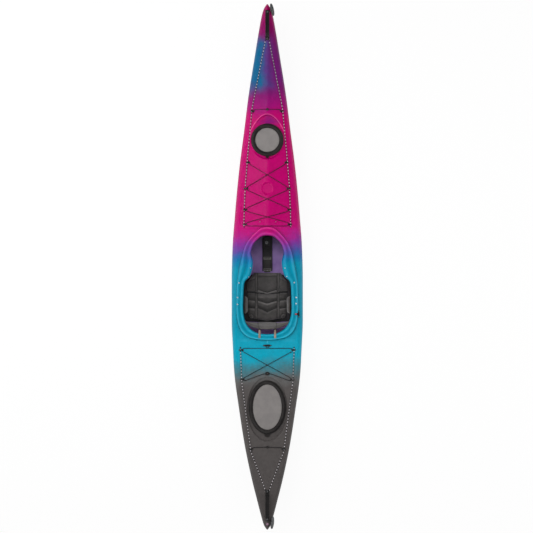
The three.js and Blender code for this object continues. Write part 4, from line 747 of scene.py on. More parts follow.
def hull_rings(stations, inset, deck_count):
    rings = []
    for y in stations:
        s = section_lines(np.array(y), inset)
        half_x, gunwale, shoulder_x, shoulder = s["half"], s["gunwale"], s["shoulder_x"], s["shoulder"]
        bottom = []
        for (fx, fz), (vx, vz) in zip(FULL_BOTTOM, VEE_BOTTOM):
            sx, sz = vx + (fx - vx) * s["fullness"], vz + (fz - vz) * s["fullness"]
            bottom.append((half_x * sx, s["keel"] + (gunwale - s["keel"]) * sz))
        mirrored = [(-bottom[1][0], bottom[1][1])] + bottom
        curve = spline(mirrored, 6 * 7 + 1)[6:]
        bevel = (half_x + (shoulder_x - half_x) * BEVEL[0], gunwale + (shoulder - gunwale) * BEVEL[1])
        edge = spline([(half_x, gunwale), bevel, (shoulder_x, shoulder)], 9)
        deck_x = shoulder_x * np.linspace(1, 0, deck_count + 1)[1:]
        deck_y = np.full_like(deck_x, y)
        deck = relief(deck_x, deck_y, bare_deck(deck_x, deck_y))
        if inset:
            deck = np.minimum(bare_deck(deck_x, deck_y, inset), deck - inset)
        right = np.vstack([curve, edge[1:], np.stack([deck_x, deck], axis=1)])
        left = right[1:-1][::-1] * np.array([-1, 1])
        rings.append([(px, y, pz) for px, pz in np.vstack([right, left])])
    return rings


def stations_between(breaks):
    """Places along the hull, each break as (place, step up to it)."""
    places = [breaks[0][0]]
    for place, step in breaks[1:]:
        count = max(int(round((place - places[-1]) / step)), 1)
        places.extend(np.linspace(places[-1], place, count + 1)[1:])
    return places


rim_height_curve = smooth_curve(RIM_HEIGHTS[:, 0], RIM_HEIGHTS[:, 1])


def rim_height(y):
    return rim_height_curve((y - OPENING_CENTRE) / OPENING_HALF_LENGTH) * HEIGHT


def rim_stations(per_row):
    """Outer and inner edge of the rim, all round, on one smooth closed line each."""
    whole = np.vstack([RIM_EDGES, RIM_EDGES[-2:0:-1] * np.array([-1, 1, -1, 1])])
    smooth = spline(whole, len(whole) * per_row, closed=True)
    scale, middle = (OPENING_HALF_WIDTH, OPENING_HALF_LENGTH), (0, OPENING_CENTRE)
    return smooth[:, 2:] * scale + middle, smooth[:, :2] * scale + middle


RIM_OUTER, RIM_INNER = rim_stations(6)
RIM_WIDTH = np.linalg.norm(RIM_OUTER - RIM_INNER, axis=1)


def inside_rim(distance):
    return RIM_OUTER + (RIM_INNER - RIM_OUTER) * (distance / RIM_WIDTH)[:, None]


def rim_lip():
    rings = []
    for outer, inner, width in zip(RIM_OUTER, RIM_INNER, RIM_WIDTH):
        height = rim_height(outer[1])
        top = [(*(outer + (inner - outer) * across), height - drop * width) for across, drop in RIM_PROFILE]
        under = [(x, y, z - RIM_THICKNESS) for x, y, z in top[1:-1:2]][::-1]
        first, last = [(x, y, z - RIM_THICKNESS * 0.6) for x, y, z in (top[0], top[-1])]
        rings.append([*top, last, *under, first])
    return loft(rings, closed=True)


def rim_riser():
    rings = []
    for face, back, outer in zip(inside_rim(RISER_INSET), inside_rim(RISER_INSET + WALL), RIM_OUTER):
        top = rim_height(outer[1]) - RIM_THICKNESS * 0.7
        foot = flat_deck(*face) - 3 * WALL
        rings.append([(*face, top), (*back, top), (*back, foot), (*face, foot)])
    return loft(rings, closed=True)


def prism(outline, low, high):
    return loft([[(p[0], p[1], z) for p in outline] for z in (low, high)])


def lip_share(x, y, z):
    """How far across the rim's lip each point lies, from its outer edge, or -1 off the lip."""
    share = np.full(len(x), -1.0)
    near = (np.abs(x) < 0.275) & (np.abs(y + 0.13) < 0.50) & (z > rim_height(y) - 0.022)
    from_outer = outline_distance(x[near], y[near], RIM_OUTER)
    from_inner = -outline_distance(x[near], y[near], RIM_INNER)
    across = np.clip(from_outer / np.maximum(from_outer + from_inner, 1e-6), 0, 1)
    share[near] = np.where((from_outer > -0.001) & (from_inner > -0.001), across, -1)
    return share


def hull_painted_light(places):
    """Painted highlights on the ridges of the rim, the arch and the creases, and painted shade along their
    edges.
    """
    x, y, z = places.T
    share = lip_share(x, y, z)
    painted_light = np.where(share >= 0, np.interp(share, *zip(*RIM_PAINTED_LIGHT)), 0)
    near = np.abs(y - 1.12) < 0.2
    painted_light[near] += arch_bead(x[near], y[near])
    return painted_light + deck_creases(x, y) * (np.abs(z - bare_deck(x, y)) < 0.005)


def tree_of(mesh):
    return BVHTree.FromPolygons([v.co for v in mesh.vertices], [p.vertices for p in mesh.polygons])


def hatch_neck(body, hatch):
    a, b, floor = hatch["a"] - 0.021, hatch["b"] - 0.021, hatch["floor"]
    top, edge = floor + NECK_HEIGHT, 0.0015
    neck = [(a, b, floor - 0.003), (a, b, top - edge), (a - edge, b - edge, top)]
    combine(body, stacked(neck, hatch["y"]), "UNION")
    mouth = [(a - 0.005, b - 0.005, z) for z in (floor - 0.02, HEIGHT + 0.02)]
    combine(body, stacked(mouth, hatch["y"]))


def hull_shell():
    fine = stations_between([
        (-HALF_LENGTH, 1), (-2.1, 0.012), (-1.9, 0.009), (-1.50, 0.02), (-1.44, 0.01), (-0.90, 0.005),
        (-0.60, 0.012), (0.58, 0.012), (0.74, 0.005), (0.84, 0.02), (1.31, 0.005), (1.88, 0.02),
        (HALF_LENGTH, 0.009),
    ])
    body = block("hull", *loft(hull_rings(fine, 0, 56)), hull_skin)
    skin = tree_of(body.data)
    rough = stations_between([
        (-HOLLOW_END, 1), (-1.50, 0.035), (-1.42, 0.008), (-0.98, 0.02), (-0.90, 0.008), (0.58, 0.035),
        (0.74, 0.008), (0.90, 0.02), (1.31, 0.008), (HOLLOW_END, 0.035),
    ])
    combine(body, loft(hull_rings(rough, WALL, 40)))
    combine(body, prism(inside_rim(RISER_INSET + WALL * 0.9), HEIGHT * 0.38, HEIGHT + 0.02))
    combine(body, rim_riser(), "UNION")
    combine(body, rim_lip(), "UNION")
    hatch_neck(body, FRONT_HATCH)
    hatch_neck(body, REAR_HATCH)
    skeg_slot = [(-0.0065, -1.738), (0.0065, -1.738), (0.0065, -1.478), (-0.0065, -1.478)]
    combine(body, prism(skeg_slot, -0.02, 0.076))
    plug_top, bore = middle_deck(PLUG_Y), 0.0063
    combine(body, stacked([(bore, bore, plug_top - 0.03), (bore, bore, plug_top + 0.02)], PLUG_Y, 24))
    body.data.materials.clear()
    body.data.materials.append(hull_skin)
    body.data.materials.append(hull_inside)
    centres = np.array([face.center[:] for face in body.data.polygons])
    for face, lip in zip(body.data.polygons, lip_share(*centres.T) >= 0):
        near, normal, _, away = skin.find_nearest(face.center)
        inside = not lip and away > 0.0032 and (face.center - near).dot(normal) < 0
        face.material_index = int(inside)
    store_painted_light(body, hull_painted_light(coords(body.data)))
    smoothed(body, 40)
    return finish_piece(body, "hull", ["hull_shell"])


def flat_deck(x, y):
    """Height of the deck before its recesses, where taut cords run."""
    return float(bare_deck(np.array([x], float), np.array([y], float))[0])


hull_tree = tree_of(hull_shell().data)


def deck_slope(x, y):
    step = 0.007
    x = abs(x)
    return math.atan2(flat_deck(x - step, y) - flat_deck(x + step, y), 2 * step)


def on_deck(x, y, lift=0.0):
    """A frame whose Z stands square to the deck at a point."""
    side = 1 if x >= 0 else -1
    turn = Matrix.Rotation(side * deck_slope(x, y), 4, "Y") if abs(x) > 0.007 else Matrix.Identity(4)
    return Matrix.Translation((x, y, flat_deck(x, y) + lift)) @ turn


def pan_head(radius, height, place):
    """A pan-head screw whose seat is at a place."""
    profile = [
        (radius * 0.5, -0.001), (radius, -0.001), (radius, height * 0.35), (radius * 0.86, height * 0.8),
        (radius * 0.5, height), (radius * 0.16, height),
    ]
    return moved(lathe(profile, 20), place)


def metal(name, parts, material):
    made(name, *merged(parts), "hull", "steel", material)


# Hatches

# A cover's section from its underside, round its outside, to the panel: inset, and height from the neck's top
COVER_SECTION = [
    (0.0205, 0.0003), (0.0205, -0.012), (0.004, -0.012), (0.0012, -0.011), (0, -0.0085), (0, -0.004),
    (0.0006, -0.0015), (0.0022, -0.0002), (0.004, -0.0002), (0.0052, -0.0018), (0.0062, -0.0012),
    (0.0066, 0.003), (0.0078, 0.0066), (0.0102, 0.0097), (0.0135, 0.0115), (0.0168, 0.012), (0.0182, 0.0112),
    (0.0194, 0.0112), (0.0208, 0.012), (0.0236, 0.0116), (0.0264, 0.0098), (0.0286, 0.0074), (0.0302, 0.0062),
    (0.0314, 0.0066), (0.0328, 0.0082), (0.0346, 0.0084), (0.036, 0.0074), (0.0368, 0.0055),
]
# A panel's edge: inset from the cover's, and height from the panel's underside
PANEL_SECTION = [
    (0, 0), (0, 0.0022), (0.0006, 0.0029), (0.0018, 0.0032), (0.0036, 0.0032), (0.0045, 0.0024),
    (0.0054, 0.0024), (0.0064, 0.0034), (0.012, 0.0042), (0.024, 0.0047), (0.044, 0.005),
]
# A pull tab's rim: share of its reach, and height
TAB_SECTION = [
    (1, 0), (1, 0.0035), (0.97, 0.0048), (0.9, 0.0055), (0.84, 0.0053), (0.79, 0.0044), (0.6, 0.004),
]


def hatch_ring(hatch, section, low, steps):
    rows = [(hatch["a"] - inset, hatch["b"] - inset, low + up) for inset, up in section]
    return stacked(rows, hatch["y"], steps)


def hatch_cover(name, hatch, body, tab):
    """A cover with the pull tab on its rear edge, as long as its half width."""
    top, panel = hatch["floor"] + NECK_HEIGHT, hatch["panel"]
    section = [(panel + 0.012, 0.0003), *COVER_SECTION, (panel, 0.0033)]
    place = hatch["y"] - hatch["b"]
    low = hatch["floor"] + 0.004
    rings = []
    for share, up in TAB_SECTION:
        reach = tab * share
        places = [(reach * math.cos(t), min(reach * math.sin(t), 0.004)) for t in turns(64)]
        rings.append([(px, place + py, low + up) for px, py in places])
    parts = [hatch_ring(hatch, section, top, 128), loft(rings)]
    for k in range(3):
        y, reach = place - tab * (0.2 + 0.18 * k), tab * (0.52 - 0.07 * k)
        parts.append(tube([(t, y, low + 0.0042) for t in np.linspace(-reach, reach, 7)], 0.0013, 8))
    made(name, *merged(parts), body, "rubber", rubber, 32, [name])


def hatch_panel(name, hatch, body):
    margin = hatch["panel"] + 0.0005
    section = [(inset + margin, up) for inset, up in PANEL_SECTION]
    low = hatch["floor"] + NECK_HEIGHT + 0.0036
    made(name, *hatch_ring(hatch, section, low, 96), body, "hatch_panel", panel_grey, 32, [name])


for hatch, sizes, tab_reach in (("front_hatch", FRONT_HATCH, 0.015), ("rear_hatch", REAR_HATCH, 0.027)):
    hatch_cover(hatch + "_cover", sizes, hatch, tab_reach)
    hatch_panel(hatch + "_panel", sizes, hatch)


# Carry handles and toggles

ACROSS = Vector((1, 0, 0))
# A strap's section in shares of its half width and its thickness
WEB_SECTION = [
    (-1, 0.1), (-1, 0.35), (-0.985, 0.48), (-0.93, 0.5), (-0.5, 0.5), (0, 0.5), (0.5, 0.5), (0.93, 0.5),
    (0.985, 0.48), (1, 0.35), (1, -0.35), (0.985, -0.48), (0.93, -0.5), (0.5, -0.5), (0, -0.5),
    (-0.5, -0.5), (-0.93, -0.5), (-0.985, -0.48), (-1, -0.35),
]
STRAP_HALF, STRAP_THICKNESS, STRAP_LIFT = 0.0165, 0.004, 0.0022
BOLT_SEAT = BOSS_HEIGHT + 0.0003
WASHER = [
    (0.008, 0.0015), (0.0156, 0.0015), (0.0160, 0.0032), (0.0142, 0.0046), (0.0105, 0.0052), (0.0082, 0.0044),
    (0.004, 0.0044),
]
BOLT_HEAD = [
    (0.003, 0.004), (0.0066, 0.004), (0.0066, 0.0056), (0.0056, 0.0073), (0.0034, 0.0079), (0.001, 0.008),
]
BOLT_SOCKET = [(0.0005, 0.0081), (0.0024, 0.0081), (0.0024, 0.0084), (0.0005, 0.0084)]


def square_to(tangent):
    """The directions across a strap and out of it."""
    side = (ACROSS - tangent * ACROSS.dot(tangent)).normalized()
    return side, side.cross(tangent)


def band_along(path, half_width, thickness):
    """A flat strap along a path, its wide side along X, with rolled edges."""
    path = [Vector(p) for p in path]
    last = len(path) - 1
    rings = []
    for k, centre in enumerate(path):
        side, up = square_to((path[min(k + 1, last)] - path[max(k - 1, 0)]).normalized())
        rings.append([centre + side * (u * half_width) + up * (v * thickness) for u, v in WEB_SECTION])
    return loft(rings)


def stitches(path, offset, lift, length=0.0032, gap=0.0018, radius=0.0004):
    """Two rows of stitches, one along each edge of a strap."""
    path = [Vector(p) for p in path]
    parts = []
    for from_middle in (offset, -offset):
        reach = 0.0
        for a, b in zip(path, path[1:]):
            span, tangent = (b - a).length, (b - a).normalized()
            side, up = square_to(tangent)
            while reach < span:
                start = a + tangent * reach + side * from_middle + up * lift
                end = start + tangent * min(length, span - reach)
                parts.append(tube([start, (start + end) / 2 + up * radius * 0.4, end], radius, 6))
                reach += length + gap
            reach -= span
    return merged(parts)


def handle_path(start, end):
    low, high = [flat_deck(0, bolt) + BOLT_SEAT + STRAP_LIFT for bolt in (start, end)]
    crest = max(low, high) + 0.022
    knots = [
        (start - 0.012, low), (start, low), (start + 0.012, low), (start + 0.03, low + (crest - low) * 0.55),
        (start + 0.048, crest - 0.003), (start + 0.07, crest), ((start + end) / 2, crest + 0.0015),
        (end - 0.07, crest), (end - 0.048, crest - 0.003), (end - 0.03, high + (crest - high) * 0.55),
        (end - 0.012, high), (end, high), (end + 0.015, high),
    ]
    return spline([(0, y, z) for y, z in knots], 120), low, high


def carry_handle(name, start, end):
    path, low, high = handle_path(start, end)
    strap = band_along(path, STRAP_HALF, STRAP_THICKNESS)
    made(name, *strap, "hull", "black_webbing", black_web, 40, [name])
    sewn = stitches(path[4:-4], 0.0135, 0.0021)
    made(name + "_stitching", *sewn, "hull", "black_webbing", thread_grey, 40)
    seats = ((0, start, low), (0, end, high))
    for word, profile, steps, slot, material in (
        ("washers", WASHER, 32, "nylon", nylon), ("bolts", BOLT_HEAD, 24, "steel", steel),
        ("sockets", BOLT_SOCKET, 6, "nylon", nylon),
    ):
        parts = [lathe(profile, steps, seat) for seat in seats]
        made(f"{name}_{word}", *merged(parts), "hull", slot, material, 32)


def grip_girth(t):
    return 0.0045 + 0.0108 * math.sin(math.pi * t) ** 0.62


def carry_toggle(name, body, bolt, beyond, turn):
    """The grip lies beside the deck on the bevel, on its cord from the handle's bolt."""
    y = bolt + beyond
    s = section_lines(np.array(y), 0)
    gunwale, shoulder = Vector((s["half"], s["gunwale"])), Vector((s["shoulder_x"], s["shoulder"]))
    run = shoulder - gunwale
    slope = run.normalized()
    middle = gunwale + Vector((run.x * BEVEL[0], run.y * BEVEL[1])) + Vector((slope.y, -slope.x)) * 0.0172
    place = Matrix.Translation((middle.x, y, middle.y)) @ Matrix.Rotation(math.radians(turn), 4, "Z")
    place = place @ Matrix.Rotation(-math.pi / 2, 4, "X")
    half = 0.052
    profile = [(0.0015, -half - 0.0012), (0.0036, -half - 0.0009)]
    for t in np.linspace(0, 1, 73):
        groove = 0.0007 * max(math.cos((t - 0.5) * 2 * math.pi * 13), 0) ** 2 if 0.14 < t < 0.86 else 0
        profile.append((grip_girth(t) - groove, (2 * t - 1) * half))
    profile += [(0.0036, half + 0.0009), (0.0015, half + 0.0012)]
    made(name, *moved(lathe(profile, 32), place), body, "toggle_grip", grip_rubber, 50, [name])
    rings = []
    for spot in (-0.047, -0.034, 0.034, 0.047):
        r = grip_girth(spot / (2 * half) + 0.5)
        rise = ((r * 0.5, 0.003), (r + 0.0003, 0.0024))
        bead = [(width, -up) for width, up in rise] + [(r + 0.0006, 0), *rise[::-1]]
        rings.append(lathe(bead, 32, (0, 0, spot)))
    made(name + "_rings", *moved(merged(rings), place), body, "toggle_grip", grip_rubber, 50)
    top = flat_deck(0, bolt) + BOLT_SEAT + STRAP_THICKNESS
    end = Vector((0.0192, bolt, top - 0.0022))
    crest = Vector(((end.x + middle.x) / 2, bolt + beyond * 0.4, top + 0.0006))
    goal = Vector((middle.x, y, middle.y + 0.010))
    path = spline([end, crest, (crest + goal) / 2 + Vector((0.002, 0, 0.001)), goal], 24)
    cord_piece(name + "_cord", path, TOGGLE_CORD_RADIUS, bungee_cord, body)


carry_handle("bow_handle_strap", *HANDLE_BOLTS[:2])
carry_handle("stern_handle_strap", *HANDLE_BOLTS[2:])
carry_toggle("bow_toggle", "bow_grip", HANDLE_BOLTS[1], 0.019, 12)
carry_toggle("stern_toggle", "stern_grip", HANDLE_BOLTS[2], -0.027, -6)


# Deck fittings, guides and the cords that they hold

FITTINGS = {
    "a": (0.124, 1.313), "b": (0.163, 0.880), "c": (0.180, 0.660), "d": (0.187, 0.482),
    "e": (0.190, 0.359), "f": (0.220, -0.699), "g": (0.211, -0.949), "h": (0.137, -1.534),
}
GUIDES = {"front": (1.328, 0.012, 0.010), "middle": (-0.899, 0.021, 0.015), "rear": (-1.518, 0.012, 0.010)}
EYE_SPACING = 0.011
LIFT, CROSS_LIFT = 0.0016, 0.0074
LINE_KNOT = [
    (0.0012, -0.0062), (0.0036, -0.005), (0.0052, -0.002), (0.0054, 0.001), (0.004, 0.0046), (0.0014, 0.006),
]
BUNGEE_KNOT = [
    (0.001, -0.0052), (0.003, -0.004), (0.0043, -0.001), (0.0042, 0.0014), (0.0028, 0.0042), (0.001, 0.005),
]


def eye_arch(x):
    """One arch of a deck fitting, its foot at z 0."""
    centre, radius = 0.0042, 0.0059
    line = [(x + radius, -0.001), (x + radius, 0.002)]
    line += [(x + radius * math.cos(t), centre + radius * math.sin(t)) for t in np.linspace(0, math.pi, 15)]
    line += [(x - radius, 0.002), (x - radius, -0.001)]
    rings = []
    for k, (px, pz) in enumerate(line):
        before, after = line[max(k - 1, 0)], line[min(k + 1, len(line) - 1)]
        ahead = Vector((after[0] - before[0], 0, after[1] - before[1])).normalized()
        out = Vector((-ahead.z, 0, ahead.x))
        section = [squared(t, 0.6, 0.6) for t in turns(12)]
        rings.append([Vector((px, v * 0.0044, pz)) + out * (u * 0.0014) for u, v in section])
    return loft(rings)


def deck_fitting(letter, side):
    x, y = FITTINGS[letter]
    name = f"deck_fitting_{letter}_" + ("starboard" if side > 0 else "port")
    place = on_deck(side * x, y)
    foot = []
    for grow, z in ((0, -0.004), (0, 0.0012), (0.0006, 0.002), (0.0016, 0.0026), (0.004, 0.0028)):
        section = [squared(t, 0.7, 0.7) for t in turns(40)]
        foot.append([(u * (0.0212 - grow), v * (0.0068 - grow), z) for u, v in section])
    parts = [loft(foot), eye_arch(EYE_SPACING / 2), eye_arch(-EYE_SPACING / 2)]
    made(name, *moved(merged(parts), place), "hull", "nylon", nylon, 35, [name])
    spots = [Matrix.Translation((spot, 0, 0.0026)) for spot in (-0.0168, 0.0168)]
    return [pan_head(0.0030, 0.0019, place @ spot) for spot in spots]


fitting_screws = []
for fitting in FITTINGS:
    fitting_screws += deck_fitting(fitting, 1) + deck_fitting(fitting, -1)
metal("deck_fitting_screws", fitting_screws, dull_steel)


def bungee_guide(name, y, half_width, half_length):
    seat = flat_deck(0, y)
    rows = [(half_width, half_length, seat - 0.004)]
    for t in np.linspace(0, 1, 9):
        drawn = 1 - 0.55 * t ** 3.2
        up = 0.010 * math.sin(t * math.pi / 2) ** 0.9
        rows.append((half_width * drawn, half_length * drawn, seat + up))
    guide = block(name, *stacked(rows, y, 40), nylon)
    reach = half_width + 0.01
    combine(guide, rounded_box((-reach, y - 0.0034, seat - 0.012), (reach, y + 0.0034, seat + 0.0072), 0.001))
    smoothed(guide, 35)
    finish_piece(guide, "hull", [name])
    return pan_head(0.0034, 0.0014, Matrix.Translation((0, y, seat + 0.0098)))


guide_screws = [bungee_guide(f"bungee_guide_{place}", *GUIDES[place]) for place in GUIDES]
metal("bungee_guide_screws", guide_screws, dull_steel)


def over_deck(route, radius):
    """A taut route over the deck; each point is x, y and the lift of the cord's underside."""
    points, step = [np.array(route[0])], 0.012
    for a, b in zip(route, route[1:]):
        count = max(int(math.ceil(math.hypot(b[0] - a[0], b[1] - a[1]) / step)), 1)
        points.extend(np.linspace(a, b, count + 1)[1:])
    x, y, lift = np.array(points).T
    height = lift + radius
    ease = 0.007
    slope = np.arctan2(bare_deck(np.abs(x) - ease, y) - bare_deck(np.abs(x) + ease, y), 2 * ease)
    slope = np.where(np.abs(x) < ease, 0, slope)
    sideways, up = np.sign(x) * np.sin(slope) * height, height * np.cos(slope)
    out = np.stack([x + sideways, y, bare_deck(x, y) + up], axis=1)
    # Rounds the corners a little, as a cord does
    for _ in range(3):
        out[1:-1] = out[1:-1] * 0.5 + (out[:-2] + out[2:]) * 0.25
    return out


def line_x(letter):
    return FITTINGS[letter][0] + EYE_SPACING / 2


def bungee_x(letter):
    return FITTINGS[letter][0] - EYE_SPACING / 2


def knots_at(name, places, ball, steps):
    """A knot at each end of a cord."""
    upright = Matrix.Rotation(math.pi / 2, 4, "X")
    parts = [moved(lathe(ball, steps), place @ upright) for place in places]
    made(name + "_knots", *merged(parts), "hull", "cord", bungee_plain, 40)


def perimeter_line(name, letters, bolt, towards):
    def through(letter, side):
        x, y = side * line_x(letter), FITTINGS[letter][1]
        return [(x, y - side * towards * along, LIFT) for along in (0.009, 0, -0.009)]

    last = FITTINGS[letters[-1]][1] - towards * 0.02
    end_x, reach = line_x(letters[-1]), 0.0125
    route = [(end_x, last, LIFT)]
    for letter in letters[::-1]:
        route += through(letter, 1)
    for t in np.linspace(0, math.pi, 13):
        route.append((reach * math.cos(t), bolt + towards * reach * math.sin(t), -0.0032))
    for letter in letters:
        route += through(letter, -1)
    route.append((-end_x, last, LIFT))
    cord_piece(name, over_deck(route, LINE_RADIUS), LINE_RADIUS, line_cord, replaces=[name])
    places = [on_deck(side * end_x, last, LIFT + LINE_RADIUS) for side in (1, -1)]
    knots_at(name, places, LINE_KNOT, 16)


def bend(letter, side, towards):
    x, y = bungee_x(letter), FITTINGS[letter][1]
    spots = [(0.6, 0.1), (1.5, 1)]

    def place(along, inward):
        return (side * (x - inward * 0.007), y + towards * along * 0.009, LIFT)

    before = [place(-along, inward) for along, inward in spots[::-1]]
    return before + [(side * x, y, LIFT)] + [place(*spot) for spot in spots]


def bungee_end(letter, side, towards):
    half = bend(letter, side, towards)[:3]
    return half + [(side * bungee_x(letter), FITTINGS[letter][1] + towards * 0.009, LIFT)]


def over_guide(place):
    y, half, _ = GUIDES[place]
    return [(half + 0.005, y, LIFT), (0, y, LIFT), (-half - 0.005, y, LIFT)]


def crossing(first, second, lift):
    a, b = bungee_x(first), bungee_x(second)
    ya, yb = FITTINGS[first][1], FITTINGS[second][1]
    return (0, ya + (yb - ya) * a / (a + b), lift)


def bungee(name, route):
    path = over_deck(route, BUNGEE_RADIUS)
    cord_piece(name, path, BUNGEE_RADIUS, bungee_cord, replaces=[name])
    knots_at(name, [Matrix.Translation(path[0]), Matrix.Translation(path[-1])], BUNGEE_KNOT, 14)


perimeter_line("front_perimeter_line", "abcde", HANDLE_BOLTS[0], 1)
perimeter_line("rear_perimeter_line", "hgf", HANDLE_BOLTS[3], -1)
bungee("front_cross_bungee", bungee_end("a", 1, -1)[::-1] + over_guide("front") + bungee_end("a", -1, -1))
bungee("rear_paddle_bungee", bungee_end("h", 1, -1)[::-1] + over_guide("rear") + bungee_end("h", -1, -1))
bungee("front_deck_bungee", [
    *bungee_end("b", -1, 1)[::-1], crossing("b", "c", LIFT), *bend("c", 1, -1),
    crossing("c", "d", LIFT), *bend("d", -1, -1), crossing("d", "e", LIFT), *bend("e", 1, -1),
    *bend("e", -1, 1), crossing("d", "e", CROSS_LIFT), *bend("d", 1, 1), crossing("c", "d", CROSS_LIFT),
    *bend("c", -1, 1), crossing("b", "c", CROSS_LIFT), *bungee_end("b", 1, 1),
])
bungee("rear_deck_bungee", [
    *bungee_end("f", 1, -1)[::-1], *bend("f", -1, -1), crossing("f", "g", LIFT),
    *bend("g", 1, -1), *over_guide("middle"), *bend("g", -1, 1),
    crossing("f", "g", CROSS_LIFT), (bungee_x("f") - 0.014, FITTINGS["f"][1] - 0.018, LIFT),
])


# Padeye, plug and the skeg's cleat

def cockpit_padeye():
    y = -0.662
    seat = flat_deck(0, y)
    edge = ((0, -0.004), (0, 0.0022), (0.0008, 0.0034), (0.0024, 0.004), (0.005, 0.0042))
    plate = [(0.038 - grow, 0.0085 - grow * 0.7, seat + z) for grow, z in edge]
    loop = []
    for t in np.linspace(0, math.pi, 25):
        loop.append((0.015 * math.cos(t), y - 0.020 * math.sin(t), seat + 0.0045 + 0.005 * math.sin(t)))
    parts = [stacked(plate, y), tube(loop, 0.0026, 14)]
    post = [(0.003, 0), (0.0058, 0), (0.0054, 0.0036), (0.0034, 0.0052), (0.001, 0.0054)]
    parts += [lathe(post, 20, (x, y, seat + 0.0022)) for x in (0.015, -0.015)]
    made("cockpit_padeye", *merged(parts), "hull", "nylon", nylon, 40, ["cockpit_padeye"])
    spots = [Matrix.Translation((x, y, seat + 0.004)) for x in (0.027, -0.027)]
    metal("cockpit_padeye_screws", [pan_head(0.0036, 0.0022, spot) for spot in spots], dull_steel)


def drain_plug():
    top = flat_deck(0, PLUG_Y) + 0.0012
    shank = [(0.003, -0.018), (0.0052, -0.0176), (0.006, -0.016)]
    for z in (-0.015, -0.012, -0.009, -0.006, -0.003):
        shank += [(0.006, z), (0.0054, z + 0.001), (0.0054, z + 0.0016), (0.006, z + 0.0026)]
    shank += [(0.006, 0.0005), (0.003, 0.001)]
    edge = (
        (0.0006, -0.0004), (0, 0.0004), (0, 0.0046), (0.0008, 0.0058), (0.0022, 0.0062), (0.0036, 0.0055),
        (0.0056, 0.0052),
    )
    head = []
    for grow, z in edge:
        ring = []
        for t in turns(72):
            knurl = 0.00045 * max(math.cos(t * 12), 0) if z < 0.005 and grow < 0.001 else 0
            radius = 0.010 - grow - knurl
            ring.append((radius * math.cos(t), PLUG_Y + radius * math.sin(t), top + z))
        head.append(ring)
    low, high = (-0.0066, PLUG_Y - 0.0014, top + 0.0045), (0.0066, PLUG_Y + 0.0014, top + 0.011)
    parts = [lathe(shank, 32, (0, PLUG_Y, top)), loft(head), rounded_box(low, high, 0.001, 3)]
    made("drain_plug", *merged(parts), "plug", "rubber", plug_grey, 40, ["drain_plug"])


def skeg_control():
    y, cleat_x = -0.397, 0.2664
    low = rim_height(y) + 0.0003
    parts = [rounded_box((0.234, y - 0.0075, low), (0.264, y + 0.0075, low + 0.005), 0.0016, 3)]
    for lip in (y + 0.0042, y - 0.0042):
        corners = (0.237, lip - 0.0008, low + 0.0046), (0.259, lip + 0.0008, low + 0.0062)
        parts.append(rounded_box(*corners, 0.0006))
    rows = []
    for t in np.linspace(-1, 1, 25):
        half = 0.0045 * (1 - 0.35 * abs(t) ** 3)
        top = low + 0.0052 + 0.001 * math.cos(t * math.pi / 2)
        bottom = low - 0.009 * (1 - abs(t) ** 6)
        right = [(0.6, top), (1, top - 0.0012), (1, bottom + 0.001), (0.6, bottom)]
        section = [(-1, top - 0.0012), (-0.6, top), *right, (-0.6, bottom), (-1, bottom + 0.001)]
        rows.append([(cleat_x + half * u, y + t * 0.031, z) for u, z in section])
    parts.append(loft(rows))
    made("skeg_cleat", *merged(parts), "hull", "nylon", nylon, 40, ["skeg_cleat"])
    spots = [Matrix.Translation((cleat_x, y + spot, low + 0.0056)) for spot in (-0.020, 0.020)]
    metal("skeg_cleat_screws", [pan_head(0.0028, 0.0016, spot) for spot in spots], steel)
    radius = 0.008
    ball = []
    for t in np.linspace(-math.pi / 2 + 0.18, math.pi / 2 - 0.18, 21):
        groove = 0.0006 if abs(t) < 0.12 else 0
        ball.append((radius * math.cos(t) - groove, radius * math.sin(t)))
    knob = lathe(ball, 36, (0.242, y, low + 0.0133))
    made("skeg_pull_knob", *knob, "skeg_knob", "red_knob", red_plastic, 50, ["skeg_pull_knob"])


cockpit_padeye()
drain_plug()
skeg_control()


# Screws through the rim and the deck, at pixels of the photograph

RIM_SCREWS = [(239, 283), (237.5, 297.5), (237.5, 304.5), (294.3, 282.5), (296.4, 297.5), (296.3, 303.6)]
HOOK_SCREWS = [(250.5, 268), (285, 268), (248.6, 277), (286.8, 276.5)]
DECK_SCREWS = [(260, 221.7), (275.7, 221.7)]


def screws_on_hull(name, pixels, radius, material):
    parts = []
    for px, py in pixels:
        x, y = (px - PHOTO_MIDDLE[0]) * PHOTO_SCALE, (PHOTO_MIDDLE[1] - py) * PHOTO_SCALE
        hit, normal, _, _ = hull_tree.ray_cast(Vector((x, y, 1)), Vector((0, 0, -1)))
        turn = Vector((0, 0, 1)).rotation_difference(normal).to_matrix().to_4x4()
        parts.append(pan_head(radius, radius * 0.62, Matrix.Translation(hit) @ turn))
    metal(name, parts, material)


screws_on_hull("rim_screws", RIM_SCREWS, 0.0062, pin_pink)
screws_on_hull("hook_screws", HOOK_SCREWS, 0.0042, pin_pink)
screws_on_hull("deck_screws", DECK_SCREWS, 0.0042, steel)


# The soft outfit

CLOTH_SETTINGS = {
    "quality": 5, "use_pressure": True, "uniform_pressure_force": 4.0, "tension_stiffness": 12,
    "compression_stiffness": 12, "shear_stiffness": 4, "bending_stiffness": 1.5,
}
CLOTH_FRAMES = 16
SEAT_LOW = 0.0116


def set_coords(mesh, places):
    mesh.vertices.foreach_set("co", np.asarray(places, float).ravel())
    mesh.update()


def normals(mesh):
    flat = np.empty(len(mesh.vertices) * 3)
    mesh.vertex_normals.foreach_get("vector", flat)
    return flat.reshape(-1, 3)


def worked(piece, kind, **settings):
    """Works one modifier into the piece's mesh."""
    modifier = piece.modifiers.new(kind.lower(), kind)
    for key, value in settings.items():
        setattr(modifier, key, value)
    applied(piece)


